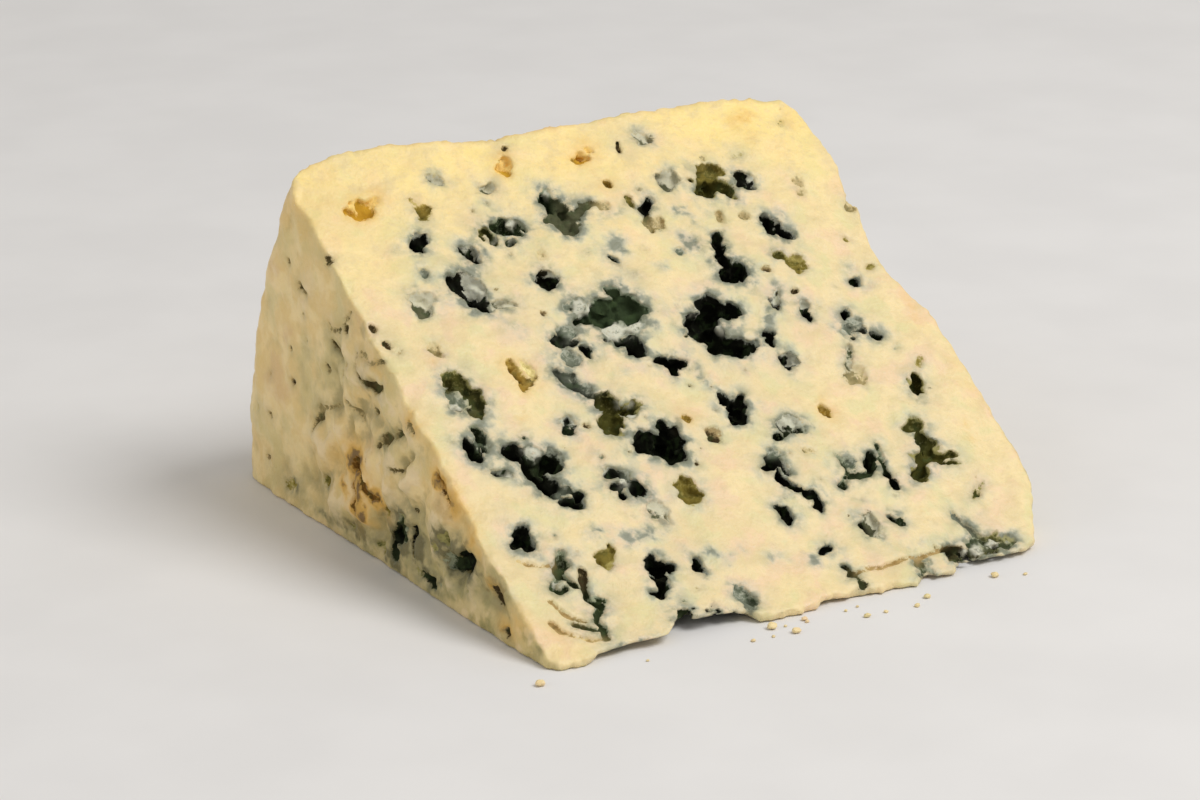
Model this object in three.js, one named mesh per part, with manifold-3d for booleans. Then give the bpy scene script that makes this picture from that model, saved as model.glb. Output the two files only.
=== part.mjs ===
// A wedge of blue-veined cheese, cut from a round wheel and lying on one of its two cut faces.
//
// Millimetres, +Z up. The wheel's axis runs along X through the wedge's thin tip edge, the rind
// faces +Y, and the other cut face slants up from the tip edge. The origin is the middle of the
// box round the wedge, at the height of its underside. The wedge is one solid: a lathed wheel is
// cut by two knife planes, and the tip's crumbled edge and the mould's openings are cut out of it.

import * as THREE from "three";
import { ImprovedNoise } from "three/addons/math/ImprovedNoise.js";
import { mergeVertices } from "three/addons/utils/BufferGeometryUtils.js";
import Module from "manifold-3d";

const wasm = await Module();
wasm.setup();

// ---- Driving dimensions ----------------------------------------------------------------------

const WHEEL_RADIUS = 95;
const WHEEL_HEIGHT = 91; // between the wheel's two flat faces, along X
const WEDGE_ANGLE = THREE.MathUtils.degToRad(34.5);
const TIP_BLUNTNESS = 1.0; // how far the tip edge has crumbled back, on average
const TIP_RAGGEDNESS = 0.9;

// The rind's outline through the wheel's axis: how far each place along X lies outside or inside
// the nominal radius. The left rim is round, and the right one slopes down to a blunt corner.
const LEFT_X = -WHEEL_HEIGHT / 2;
const RIGHT_X = WHEEL_HEIGHT / 2;
const LEFT_RIM_ROUNDING = 6;
const RIND_SWELL = [
  [-34, 1.1],
  [-27, 1.4],
  [-14, -0.4],
  [-3, -0.7],
  [12, 0.1],
  [28, 0.6],
  [37, -0.7],
];
const RIGHT_RIM_DROP = 3.9;

// How far the right flat face bulges, from the rim in to the tip, by its distance from the axis.
const RIGHT_FACE_SWELL = [
  [84, 1.6],
  [78, 2.2],
  [71, 0.8],
  [59, -0.9],
  [47, 2.1],
  [30, 2.1],
  [15, 1.5],
];

// The tip's right corner has broken off, along a line between these two places.
const BREAK_ON_TIP = new THREE.Vector2(38.9, 0);
const BREAK_ON_RIGHT_FACE = new THREE.Vector2(47.8, 13.5);

const AROUND_WHEEL = 72; // facets round the whole wheel
const CUT_FACE_GRID = 24; // facets along each side of the slanted face
const LARGE_LOBE = 2.7; // half length from which a pocket's lobe gets more facets
const POCKET_TOLERANCE = 0.4; // how far a pocket's faces may be thinned out
const BODY_TOLERANCE = 0.05; // and the finished wedge's

// ---- Pockets ---------------------------------------------------------------------------------

// Each pocket is a few overlapping lobes. A lobe is [across, up, half length, half width, turn,
// depth]: its middle on the face, its half sizes, its turn in degrees and its depth. On the cut
// face "across" runs along X and "up" runs from the tip edge to the rind.
const CUT_FACE_POCKETS = {
  greatSlate: [
    [-10.2, 58, 1.8, 1.6, 0, 5],
    [-6.3, 58, 3.2, 2.4, 5, 6],
    [-2.5, 58.2, 2.7, 3, 0, 6],
    [-3.2, 61.3, 1.2, 1.9, 0, 3.5],
  ],
  greatBlack: [
    [7.4, 52.6, 2.2, 2.9, -10, 6],
    [11.3, 55.5, 2.9, 2.3, 10, 6],
    [14, 54.2, 1.8, 1.7, 40, 4],
    [9.2, 50.2, 2.4, 1.9, 20, 6],
    [11.5, 47.4, 3.5, 1.6, -12, 5],
  ],
  middleOlive: [
    [-14.3, 42, 2.3, 2.1, 0, 4.5],
    [-15.6, 38.6, 1.8, 2.5, -15, 4],
    [-11.4, 40.2, 2.6, 1, 12, 3],
  ],
  middleBlack: [
    [-11.5, 33.5, 3.2, 2.3, -30, 6],
    [-7.8, 34, 2.3, 2.7, 0, 6],
    [-8.5, 31, 2.3, 1.6, 10, 5],
  ],
  slate: [
    [-4.4, 77.4, 2.3, 3.8, 0, 5],
    [-5, 80.8, 1.2, 2.3, 0, 3.5],
    [-0.6, 78, 1.6, 0.9, 25, 1.8],
  ],
  upperOlive: [
    [24.7, 80.9, 2.6, 1.8, 0, 4.5],
    [22.8, 78.2, 2.6, 1.9, 20, 4.5],
    [25.6, 77.2, 0.9, 2.7, 8, 2.5],
  ],
  upperBlack: [[-27, 66.4, 2.1, 3.8, 12, 5]],
  upperGreen: [
    [-15, 77.8, 2.3, 1.7, 20, 3.5],
    [-12.9, 76.5, 1.6, 1.2, 50, 3],
  ],
  rightBlack: [
    [18.3, 60.9, 2.8, 1.9, 10, 5],
    [18, 64.2, 1.2, 2.2, -15, 4],
    [19.3, 68.3, 0.9, 1.3, 0, 2.5],
  ],
  rightPair: [
    [29.3, 68.7, 1.1, 2.1, 0, 4],
    [31, 66.8, 1.4, 1.5, 0, 4],
  ],
  leftDiagonal: [
    [-33, 37, 1.9, 1.3, -20, 5],
    [-31.5, 33.6, 1.5, 2.7, 15, 5],
    [-30.9, 30.2, 1.6, 2, 0, 4],
    [-28.7, 34.3, 2, 1.5, -30, 4],
  ],
  leftOlive: [[-36.3, 48.2, 2.5, 3.9, 20, 3.5]],
  leftPair: [
    [-39.3, 38.6, 1.2, 2.3, 0, 4],
    [-37, 41.2, 1.1, 1.7, 0, 3],
  ],
  star: [
    [-6, 52.3, 2, 1.1, 0, 4],
    [-5, 50.5, 1.4, 1.6, 0, 4],
  ],
  smallStar: [
    [-2, 47.6, 1.4, 1, 0, 3.5],
    [0.1, 46.8, 1.8, 1.1, 10, 3.5],
  ],
  centreStar: [
    [6.1, 37.3, 1.8, 1.7, 0, 4],
    [4.9, 34.9, 1.3, 1.4, 0, 3],
  ],
  hook: [
    [-16.3, 54.8, 1.3, 1.4, 0, 3],
    [-13.2, 52.1, 0.9, 1.3, 0, 2.5],
  ],
  diagonalGrey: [[-18, 47, 4, 1.5, -58, 2.6]],
  lowerLeftBlack: [[-38.9, 22.5, 1.7, 2.2, -20, 4]],
  bow: [[-28, 26.7, 2, 1.1, 8, 3]],
  smallCluster: [
    [-20.4, 27.4, 1.6, 1, 0, 3],
    [-17.8, 26.3, 1.5, 1.7, 0, 3],
  ],
  smoothOlive: [[-9.7, 24, 2.1, 2.9, 0, 3.5]],
  lowerStar: [
    [6, 25.3, 1.6, 1.6, 0, 4],
    [6.1, 23, 0.9, 1.8, 0, 3],
    [9.4, 18, 1.1, 2, 0, 2.5],
  ],
  lowerDrop: [[3.3, 16.5, 1.1, 2, 0, 3]],
  tipBlack: [
    [-20.8, 12.9, 1.9, 1.7, 0, 4],
    [-22.4, 9.8, 1.3, 2.2, -35, 3.5],
  ],
  rightBranch: [
    [32.8, 24, 1.5, 2.6, 0, 3.5],
    [30.2, 20.2, 1.3, 3, -40, 3],
    [34.3, 20.2, 2.2, 0.9, 5, 2.5],
  ],
  lowerRightBar: [
    [22.2, 22.3, 2, 1.2, 25, 3],
    [23.8, 18.2, 1, 1.9, -10, 2.5],
  ],
  farRightOlive: [[37.4, 33.8, 1.3, 2.5, -28, 4]],
  rightTwins: [
    [33, 48.6, 2, 1.6, 50, 3],
    [36, 44.6, 1.4, 1.3, 0, 3],
  ],
  amberCorner: [[-36.6, 84.8, 2.6, 2.2, 15, 2.2]],
  amberTop: [[4.8, 88.6, 2.7, 1.6, 25, 2]],
  greenTop: [[16.7, 80.9, 2, 2, 0, 2.2]],
  darkGreen: [[-13, 65.9, 2.1, 1.8, 0, 3.5]],
  amberCrescent: [[-25.5, 50, 1.6, 3.3, 0, 2.2]],
  tipDark: [[14.9, 11.5, 1.5, 2.8, -15, 2.6]],
  tipHollow: [
    [-22.4, 2.6, 2, 2.4, 0, 3],
    [-17.5, 0.4, 6.4, 1.7, -4, 3],
  ],
  tipCrumbled: [
    [27.2, 0.9, 2.4, 2.9, 0, 3],
    [34, 3.6, 2.8, 1.4, 0, 0.9],
  ],
  tipNick: [
    [-11.5, 0.4, 1.6, 1.2, 0, 2],
    [1.8, 0, 1.6, 1.2, 0, 2],
    [19.2, 0.4, 1.5, 2.4, -10, 3],
  ],
};

// On the left flat face "across" runs from the tip to the rind, and "up" is +Z.
const LEFT_FACE_POCKETS = {
  mouldHole: [
    [24.5, 8.6, 3.4, 2.2, -25, 3],
    [28.6, 7.2, 2, 1.4, -10, 2],
  ],
  lowerSlit: [[43.3, 5.8, 1.4, 3.4, 15, 2]],
  narrowSlit: [[38, 6.4, 0.8, 1.9, 0, 1.4]],
  curvedCrack: [
    [44.5, 22.6, 2.6, 1.1, -30, 1.8],
    [47.8, 19.6, 2.4, 1, -45, 1.8],
  ],
  upperSlit: [[50.5, 28.2, 3.8, 0.9, 18, 1.8]],
  brownDent: [[56, 12.6, 3, 2.4, 15, 1.3]],
  rindDent: [[68.6, 18.2, 1.8, 2.2, 0, 1.2]],
};

// The other faces get pockets by a rule: how many, the smallest and largest half length, the depth
// as a share of it, and the box of the face's own coordinates in which they lie.
const UNDERSIDE_SCATTER = {
  count: 18,
  half: [1.4, 4.2],
  depth: 0.9,
  across: [-40, 40],
  up: [12, 86],
};
const RIGHT_FACE_SCATTER = {
  count: 7,
  half: [1.1, 2.8],
  depth: 0.8,
  across: [22, 80],
  up: [4, 44],
};
const REST_SPOT = { across: 2, up: 52, clear: 11 }; // solid ground in the underside's middle
const SCATTER_GAP = 2.5;
const SCATTER_SEED = 41;

// ---- Helpers ---------------------------------------------------------------------------------

const noise = new ImprovedNoise();

// A smooth random value in about -1..1 at a place in space; `grain` is the bumps' size.
function bump(point, grain, channel) {
  const offset = 31.7 * channel;
  return noise.noise(point.x / grain + offset, point.y / grain - offset, point.z / grain);
}

// Moves each vertex by `change`, which gets and alters a Vector3.
function moveVertices(geometry, change) {
  const position = geometry.getAttribute("position");
  const point = new THREE.Vector3();
  for (let i = 0; i < position.count; i++) {
    change(point.fromBufferAttribute(position, i));
    position.setXYZ(i, point.x, point.y, point.z);
  }
  return geometry;
}

// Pushes the surface about by a noise that depends only on the place, so that seams stay shut.
function roughen(geometry, amplitude, grain, channel) {
  return moveVertices(geometry, (point) => {
    const dx = bump(point, grain, channel);
    const dy = bump(point, grain, channel + 1);
    const dz = bump(point, grain, channel + 2);
    point.x += amplitude * dx;
    point.y += amplitude * dy;
    point.z += amplitude * dz;
  });
}

// A closed three.js geometry as a manifold-3d solid.
function solidFrom(geometry) {
  geometry.deleteAttribute("normal");
  geometry.deleteAttribute("uv");
  const merged = mergeVertices(geometry, 1e-3);
  return new wasm.Manifold(
    new wasm.Mesh({
      numProp: 3,
      vertProperties: new Float32Array(merged.getAttribute("position").array),
      triVerts: new Uint32Array(merged.index.array),
    }),
  );
}

function geometryFrom(solid) {
  const { vertProperties, triVerts } = solid.getMesh();
  const geometry = new THREE.BufferGeometry();
  geometry.setAttribute("position", new THREE.BufferAttribute(vertProperties, 3));
  geometry.setIndex(new THREE.BufferAttribute(triVerts, 1));
  return geometry;
}

function joinAll(solids) {
  return solids.reduce((joined, solid) => joined.add(solid));
}

// ---- The wheel and the cuts ------------------------------------------------------------------

// Half of the wheel's section: up the left flat face, over the rind and down the right face.
function wheelProfile() {
  const rim = WHEEL_RADIUS - LEFT_RIM_ROUNDING;
  const rind = RIND_SWELL.map(([x, swell]) => new THREE.Vector2(WHEEL_RADIUS + swell, x));
  const rightRim = new THREE.Vector2(WHEEL_RADIUS - RIGHT_RIM_DROP, RIGHT_X + 1.6);
  const face = RIGHT_FACE_SWELL.map(([r, swell]) => new THREE.Vector2(r, RIGHT_X + swell));

  const leftFace = new THREE.LineCurve(new THREE.Vector2(0, LEFT_X), new THREE.Vector2(rim, LEFT_X));
  const leftRim = new THREE.EllipseCurve(
    rim,
    LEFT_X + LEFT_RIM_ROUNDING,
    LEFT_RIM_ROUNDING,
    LEFT_RIM_ROUNDING,
    -Math.PI / 2,
    0,
  );
  const rindCurve = new THREE.SplineCurve([leftRim.getPoint(1), ...rind, rightRim]);
  const rightFace = new THREE.SplineCurve([rightRim, ...face, new THREE.Vector2(0, RIGHT_X)]);
  return [
    ...leftFace.getPoints(20).slice(0, -1),
    ...leftRim.getPoints(5).slice(0, -1),
    ...rindCurve.getPoints(22).slice(0, -1),
    ...rightFace.getPoints(24),
  ];
}

// The whole wheel, its axis along X.
function makeWheel() {
  const wheel = new THREE.LatheGeometry(wheelProfile(), AROUND_WHEEL);
  wheel.rotateZ(-Math.PI / 2);
  roughen(wheel, 0.9, 14, 3);
  roughen(wheel, 0.35, 4.5, 8);
  return solidFrom(wheel);
}

// Everything below the slanted knife plane, whose face is gently torn rather than flat.
function makeBelowSlantedCut() {
  const reach = WHEEL_RADIUS * 1.3;
  const block = new THREE.BoxGeometry(reach, reach, reach, CUT_FACE_GRID, CUT_FACE_GRID, 1);
  block.translate(0, reach / 2 - 6, -reach / 2);
  roughen(block, 0.7, 16, 20);
  roughen(block, 0.35, 5, 25);
  block.rotateX(WEDGE_ANGLE);
  return solidFrom(block);
}

// Everything above the flat underside, behind the tip's crumbled front.
function makeAboveUnderside() {
  const reach = WHEEL_RADIUS * 1.3;
  const block = new THREE.BoxGeometry(reach, reach, reach, 56, 1, 1);
  block.translate(0, reach / 2, reach / 2);
  moveVertices(block, (point) => {
    if (point.y > 1) return;
    const place = new THREE.Vector3(point.x, 0, 0);
    const ragged = bump(place, 9, 40) + 0.6 * bump(place, 3.3, 44);
    point.y = Math.max(0.35, TIP_BLUNTNESS + TIP_RAGGEDNESS * ragged);
  });
  return solidFrom(block);
}

// The piece that has broken off the tip's right corner, and all that lay beyond it.
function makeBrokenCorner() {
  const size = 40;
  const along = BREAK_ON_RIGHT_FACE.clone().sub(BREAK_ON_TIP);
  const block = new THREE.BoxGeometry(size, size, size, 12, 2, 14);
  roughen(block, 1.2, 6, 50);
  block.translate(0, -size / 2, 0);
  block.rotateX(THREE.MathUtils.degToRad(-12));
  block.rotateZ(along.angle());
  block.translate(BREAK_ON_TIP.x, BREAK_ON_TIP.y, 0);
  return solidFrom(block);
}

// ---- The pockets -----------------------------------------------------------------------------

// Where a face's own coordinates, across, up and out of it, lie on the wedge.
const slantedFace = new THREE.Matrix4().makeRotationX(WEDGE_ANGLE);
const underside = new THREE.Matrix4();
const leftFace = new THREE.Matrix4().makeBasis(
  new THREE.Vector3(0, 1, 0),
  new THREE.Vector3(0, 0, 1),
  new THREE.Vector3(1, 0, 0),
);
leftFace.setPosition(LEFT_X, 0, 0);
const rightFace = leftFace.clone().setPosition(RIGHT_X + 1.6, 0, 0);

let lobesMade = 0;

function makeLobe([across, up, halfLength, halfWidth, turn, depth], face) {
  lobesMade += 1;
  const lobe = new THREE.IcosahedronGeometry(1, Math.max(halfLength, halfWidth) < LARGE_LOBE ? 1 : 2);
  lobe.deleteAttribute("uv");
  const spread = new THREE.Vector3(across, up, lobesMade);
  moveVertices(lobe, (point) => {
    const place = point.clone().addScaledVector(spread, 0.37);
    point.multiplyScalar(1 + 0.34 * bump(place, 0.75, 60));
  });
  lobe.scale(halfLength, halfWidth, depth);
  lobe.rotateZ(THREE.MathUtils.degToRad(turn));
  lobe.translate(across, up, 0);
  lobe.applyMatrix4(face);
  return solidFrom(lobe);
}

function makePockets(pockets, face) {
  const lobes = Object.values(pockets).flat();
  return joinAll(lobes.map((lobe) => makeLobe(lobe, face))).simplify(POCKET_TOLERANCE);
}

// Draws pockets that keep clear of each other, of `spot` and of the face's thin parts.
function scatter(rule, fits, seed) {
  THREE.MathUtils.seededRandom(seed);
  const draw = ([low, high]) => low + (high - low) * THREE.MathUtils.seededRandom();
  const placed = [];
  for (let tries = 0; placed.length < rule.count && tries < 40 * rule.count; tries++) {
    const share = THREE.MathUtils.seededRandom() ** 2;
    const half = rule.half[0] + (rule.half[1] - rule.half[0]) * share;
    const across = draw(rule.across);
    const up = draw(rule.up);
    const turn = draw([-90, 90]);
    const slimness = draw([0.5, 0.95]);
    const crowded = placed.some(
      ([x, y, size]) => Math.hypot(x - across, y - up) < size + half + SCATTER_GAP,
    );
    if (crowded || !fits(across, up, half)) continue;
    placed.push([across, up, half, half * slimness, turn, half * rule.depth]);
  }
  return { drawn: placed };
}

function makeUndersidePockets() {
  const fits = (across, up, half) => {
    const thickness = Math.tan(WEDGE_ANGLE) * up;
    const fromSpot = Math.hypot(across - REST_SPOT.across, up - REST_SPOT.up);
    return half * UNDERSIDE_SCATTER.depth < 0.3 * thickness && fromSpot > REST_SPOT.clear + half;
  };
  return makePockets(scatter(UNDERSIDE_SCATTER, fits, SCATTER_SEED), underside);
}

function makeRightFacePockets() {
  const fits = (across, up, half) => {
    const fromAxis = Math.hypot(across, up);
    const roof = Math.tan(WEDGE_ANGLE) * across;
    return up + half + 3 < roof && fromAxis + half + 4 < WHEEL_RADIUS;
  };
  return makePockets(scatter(RIGHT_FACE_SCATTER, fits, SCATTER_SEED + 1), rightFace);
}

// ---- The wedge -------------------------------------------------------------------------------

// The largest body of a solid, without the crumbs that a cut has left loose.
function largestBody(solid) {
  const bodies = solid.decompose();
  return bodies.reduce((best, body) => (body.volume() > best.volume() ? body : best));
}

function makeWedge() {
  const slice = makeWheel().intersect(makeBelowSlantedCut()).intersect(makeAboveUnderside());
  const openings = joinAll([
    makePockets(CUT_FACE_POCKETS, slantedFace),
    makePockets(LEFT_FACE_POCKETS, leftFace),
    makeUndersidePockets(),
    makeRightFacePockets(),
  ]);
  const carved = slice.subtract(makeBrokenCorner()).subtract(openings);
  return largestBody(carved.simplify(BODY_TOLERANCE));
}

const wedgeGeometry = geometryFrom(makeWedge());
wedgeGeometry.computeBoundingBox();
const boxMiddle = wedgeGeometry.boundingBox.getCenter(new THREE.Vector3());
wedgeGeometry.translate(-boxMiddle.x, -boxMiddle.y, -wedgeGeometry.boundingBox.min.z);
wedgeGeometry.computeVertexNormals();

const cheesePaste = new THREE.MeshStandardMaterial({
  color: new THREE.Color(0.86, 0.76, 0.53),
  roughness: 0.6,
  metalness: 0,
});

const cheeseWedge = new THREE.Mesh(wedgeGeometry, cheesePaste);
cheeseWedge.name = "cheese_wedge";

const part = new THREE.Group();
part.add(cheeseWedge);

export default part;
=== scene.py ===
"""A wedge of blue-veined cheese, modelled finely over its CAD solid and lit in a plain studio.

The cheese is one closed mesh. It is found as the zero surface of a distance field: the wheel's
sector between its two knife cuts, roughened, with each mould pocket, crack and dent cut out of
it. Lengths in the field are millimetres from the wheel's axis at the middle of the tip edge, and
are turned into Blender's metres in the CAD frame when the mesh is made.
"""

import math
from collections import namedtuple
from itertools import product

import bmesh
import bpy
import numpy as np
from mathutils import Matrix, Vector

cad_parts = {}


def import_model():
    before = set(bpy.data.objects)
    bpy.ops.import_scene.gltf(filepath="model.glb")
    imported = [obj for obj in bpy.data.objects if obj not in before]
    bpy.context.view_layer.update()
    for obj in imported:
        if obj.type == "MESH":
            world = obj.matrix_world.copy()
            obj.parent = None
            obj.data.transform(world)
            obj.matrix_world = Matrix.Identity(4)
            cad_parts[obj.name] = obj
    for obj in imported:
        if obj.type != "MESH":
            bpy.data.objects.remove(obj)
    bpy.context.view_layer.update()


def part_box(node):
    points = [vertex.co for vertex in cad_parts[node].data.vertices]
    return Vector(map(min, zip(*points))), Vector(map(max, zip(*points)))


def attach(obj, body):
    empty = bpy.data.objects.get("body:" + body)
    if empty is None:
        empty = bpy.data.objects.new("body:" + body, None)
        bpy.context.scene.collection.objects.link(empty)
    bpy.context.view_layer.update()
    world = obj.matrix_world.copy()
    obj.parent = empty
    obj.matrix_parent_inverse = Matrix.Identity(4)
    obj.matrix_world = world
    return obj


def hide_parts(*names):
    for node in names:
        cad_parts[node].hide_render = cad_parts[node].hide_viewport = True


MM = 0.001

# ---- Driving sizes ---------------------------------------------------------------------------

WHEEL_RADIUS = 95.0
WHEEL_HEIGHT = 91.0
WEDGE_ANGLE = math.radians(34.5)
LEFT_X = -WHEEL_HEIGHT / 2
RIGHT_X = WHEEL_HEIGHT / 2
LEFT_RIM_ROUNDING = 6.0
RIGHT_RIM_ROUNDING = 2.5

# How far the CAD wedge reaches from the middle of the wheel's axis, to the left and to the rind.
CAD_LEFT_REACH = 46.13
CAD_RIND_REACH = 96.39

# The rind's swell outside the nominal radius, by place along X, from the left rim to the right.
RIND_SWELL = [(-46, 0.0), (-40, 0.2), (-33, 1.3), (-26, 1.4), (-19, 0.3), (-13, -0.4), (-3, -0.7),
              (4, -0.2), (12, 0.1), (23, 0.3), (29, 0.6), (34, 0.1), (38, -0.8), (43, -2.3),
              (48, -4.0)]
# The right flat face's swell, by distance from the axis.
RIGHT_FACE_SWELL = [(0, 0.6), (12, 1.4), (20, 2.1), (41, 2.0), (47, 2.2), (52, 0.4), (58, -0.9),
                    (61, -0.7), (69, 0.9), (72.5, 0.7), (78, 2.2), (84, 1.6), (91, 1.7), (98, 1.0)]
RIGHT_FACE_BULGE = 1.6  # what that comes to on the whole
# How far the tip edge reaches in front of the wheel's axis (negative) or falls short of it.
TIP_FRONT = [(-50, 2.5), (-45.5, 1.8), (-43.6, -0.1), (-41, -0.7), (-39.2, -0.4), (-37, 0.3),
             (-33, 0.3), (-29, -0.3), (-26, -0.4), (-24.8, 0.2), (-24, 1.6), (-21.5, 2.2),
             (-18, 1.7), (-14.5, 1.0), (-12.6, 0.9), (-11.8, 1.5), (-10.6, -0.1), (-7, -0.9),
             (-4, -0.8), (-1, -0.4), (0.4, 0.5), (2.8, 0.6), (3.6, 0.0), (5.2, 0.1), (6.2, 0.7),
             (8, 0.1), (11, -0.3), (13.4, 0.2), (15, -0.5), (17, -0.8), (18.1, 0.2), (19.6, 0.6),
             (20.6, -0.4), (23, -0.6), (24.6, -0.2), (25.2, 0.9), (28, 1.3), (33, 0.9),
             (38.5, 0.6), (41, 2.4), (43, 5.0), (44, 7.0), (46, 9.4), (48, 12.5), (52, 18)]
# How far the underside stands off the table along the tip edge, and how far back that reaches.
TIP_LIFT = [(-48, 0.0), (-39.5, 0.0), (-37.5, 1.1), (-31, 1.4), (-26, 1.5), (-24, 2.8), (-19, 3.1),
            (-14, 2.4), (-11.5, 1.4), (-10.5, 0.1), (-1, 0.0), (1, 0.7), (4, 0.7), (6, 0.2),
            (18, 0.0), (20, 0.8), (24, 0.3), (27, 1.0), (38, 0.8), (48, 0.8)]
TIP_LIFT_DEPTH = 10.0
TIP_THICKNESS = 1.4  # of the slanted face's crumbled lip over the axis
TIP_LIP_LENGTH = 4.0

# The lattice that the surface is found on: the size of its cells, its margin, and the room that
# the faces' swell and relief take outside the nominal wedge.
FINE_CELL = 0.32
MARGIN = 1.6
FRONT_AND_LEFT_ROOM = 1.2
RIGHT_ROOM = 2.4
RIND_ROOM = 2.0
TOP_ROOM = 3.0
TRIANGLES = 198_000  # that are left once the mesh is thinned

# How widely the edges between the faces are rounded, and a pocket's rim.
EDGE_ROUNDING = 0.6
TIP_ROUNDING = 0.3
UNDERSIDE_ROUNDING = 0.5
POCKET_RIM_ROUNDING = 0.2
RELIEF_REACH = 3.0  # how far from a face its relief is worked out

# Each face's relief: (size of the bumps, height).
CUT_RELIEF = [(16, 0.5), (5.5, 0.35), (2.2, 0.2), (1.0, 0.1)]
LEFT_FACE_RELIEF = [(13, 0.3), (6, 0.35), (2.6, 0.22), (1.1, 0.1)]
RIGHT_FACE_RELIEF = [(11, 0.3), (5, 0.3), (2.4, 0.2), (1.1, 0.1)]
RIND_RELIEF = [(14, 0.4), (5, 0.25), (2.2, 0.12), (1.1, 0.08)]
TIP_RELIEF = [(2.4, 0.55), (1.0, 0.35)]
UNDERSIDE_RELIEF = [(6, 0.12), (2, 0.06)]
# More of it: lumps on the flat faces, away from their edges, and crumbs in a band along two edges.
LUMPS = [(8, 1.5), (3.8, 1.0), (1.8, 0.35)]
LUMPS_FROM_EDGE = (1.0, 6.0)  # how far inside the edges the lumps begin and are full
# The flat faces are flaky near the axis and smoother from the first radius to the second.
FLAKY_RADII = (58, 78)
LEAST_FLAKY = 0.3
TOP_EDGE_CRUMBS = [(1.9, 0.5), (0.9, 0.25)]
TOP_EDGE_BAND = 2.2
LEFT_EDGE_CRUMBS = [(2.8, 0.5), (1.2, 0.3)]
LEFT_EDGE_BAND = 2.4

# ---- Pockets ---------------------------------------------------------------------------------

# What grows in a pocket, with painted shade: its colour near the mouth and deep inside, sRGB from 0
# to 255, the deep one dark mould and partly painted shade, how far down the deep colour starts and
# is full, how far it keeps to the lower left side as painted shade, the stain round the pocket, how
# strong that is, and how dark the rim's painted shade is.
Mould = namedtuple("Mould", "pale deep fade side stain strength rim")
MOULDS = {
    "black": Mould((160, 163, 146), (17, 18, 9), (0.1, 1.1), 0.0, "halo", 0.85, 0.7),
    "pitch": Mould((112, 100, 58), (12, 11, 6), (0.0, 0.7), 0.0, "halo", 0.9, 0.8),
    "crescent": Mould((214, 213, 192), (18, 19, 10), (0.0, 0.8), 0.95, "halo", 0.8, 0.8),
    "slate": Mould((146, 150, 130), (86, 87, 62), (0.1, 0.8), 0.0, "halo", 0.8, 0.5),
    "forest": Mould((142, 152, 126), (52, 64, 40), (0.1, 1.0), 0.0, "halo", 0.9, 0.7),
    "olive": Mould((160, 152, 94), (74, 71, 26), (0.1, 1.0), 0.2, "halo", 0.6, 0.5),
    "moss": Mould((172, 158, 90), (128, 114, 50), (0.0, 0.9), 0.3, "halo", 0.35, 0.3),
    "green": Mould((158, 164, 136), (48, 58, 32), (0.1, 0.9), 0.25, "halo", 0.8, 0.6),
    "grey": Mould((208, 203, 176), (96, 96, 70), (0.0, 0.7), 0.95, "halo", 0.6, 0.7),
    "silver": Mould((188, 190, 170), (126, 132, 114), (0.0, 0.8), 0.4, "halo", 0.8, 0.4),
    "tan": Mould((220, 202, 154), (166, 150, 104), (0.0, 0.6), 0.6, "halo", 0.25, 0.2),
    "brown": Mould((180, 158, 112), (72, 58, 34), (0.0, 0.7), 0.2, "halo", 0.4, 0.3),
    "amber": Mould((246, 212, 130), (196, 150, 46), (0.0, 1.0), 0.8, "amber", 0.5, 0.0),
    "gold": Mould((214, 188, 108), (158, 126, 50), (0.0, 0.7), 0.3, "amber", 0.3, 0.0),
    "straw": Mould((246, 232, 168), (220, 202, 136), (0.0, 0.5), 0.6, "amber", 0.2, 0.0),
    "rust": Mould((186, 142, 70), (112, 78, 28), (0.0, 0.7), 0.2, "amber", 0.7, 0.0),
    "slit": Mould((160, 144, 98), (96, 84, 50), (0.0, 1.0), 0.2, "halo", 0.4, 0.2),
    "crack": Mould((222, 198, 140), (182, 154, 100), (0.0, 0.5), 0.0, "halo", 0.15, 0.0),
}

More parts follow.
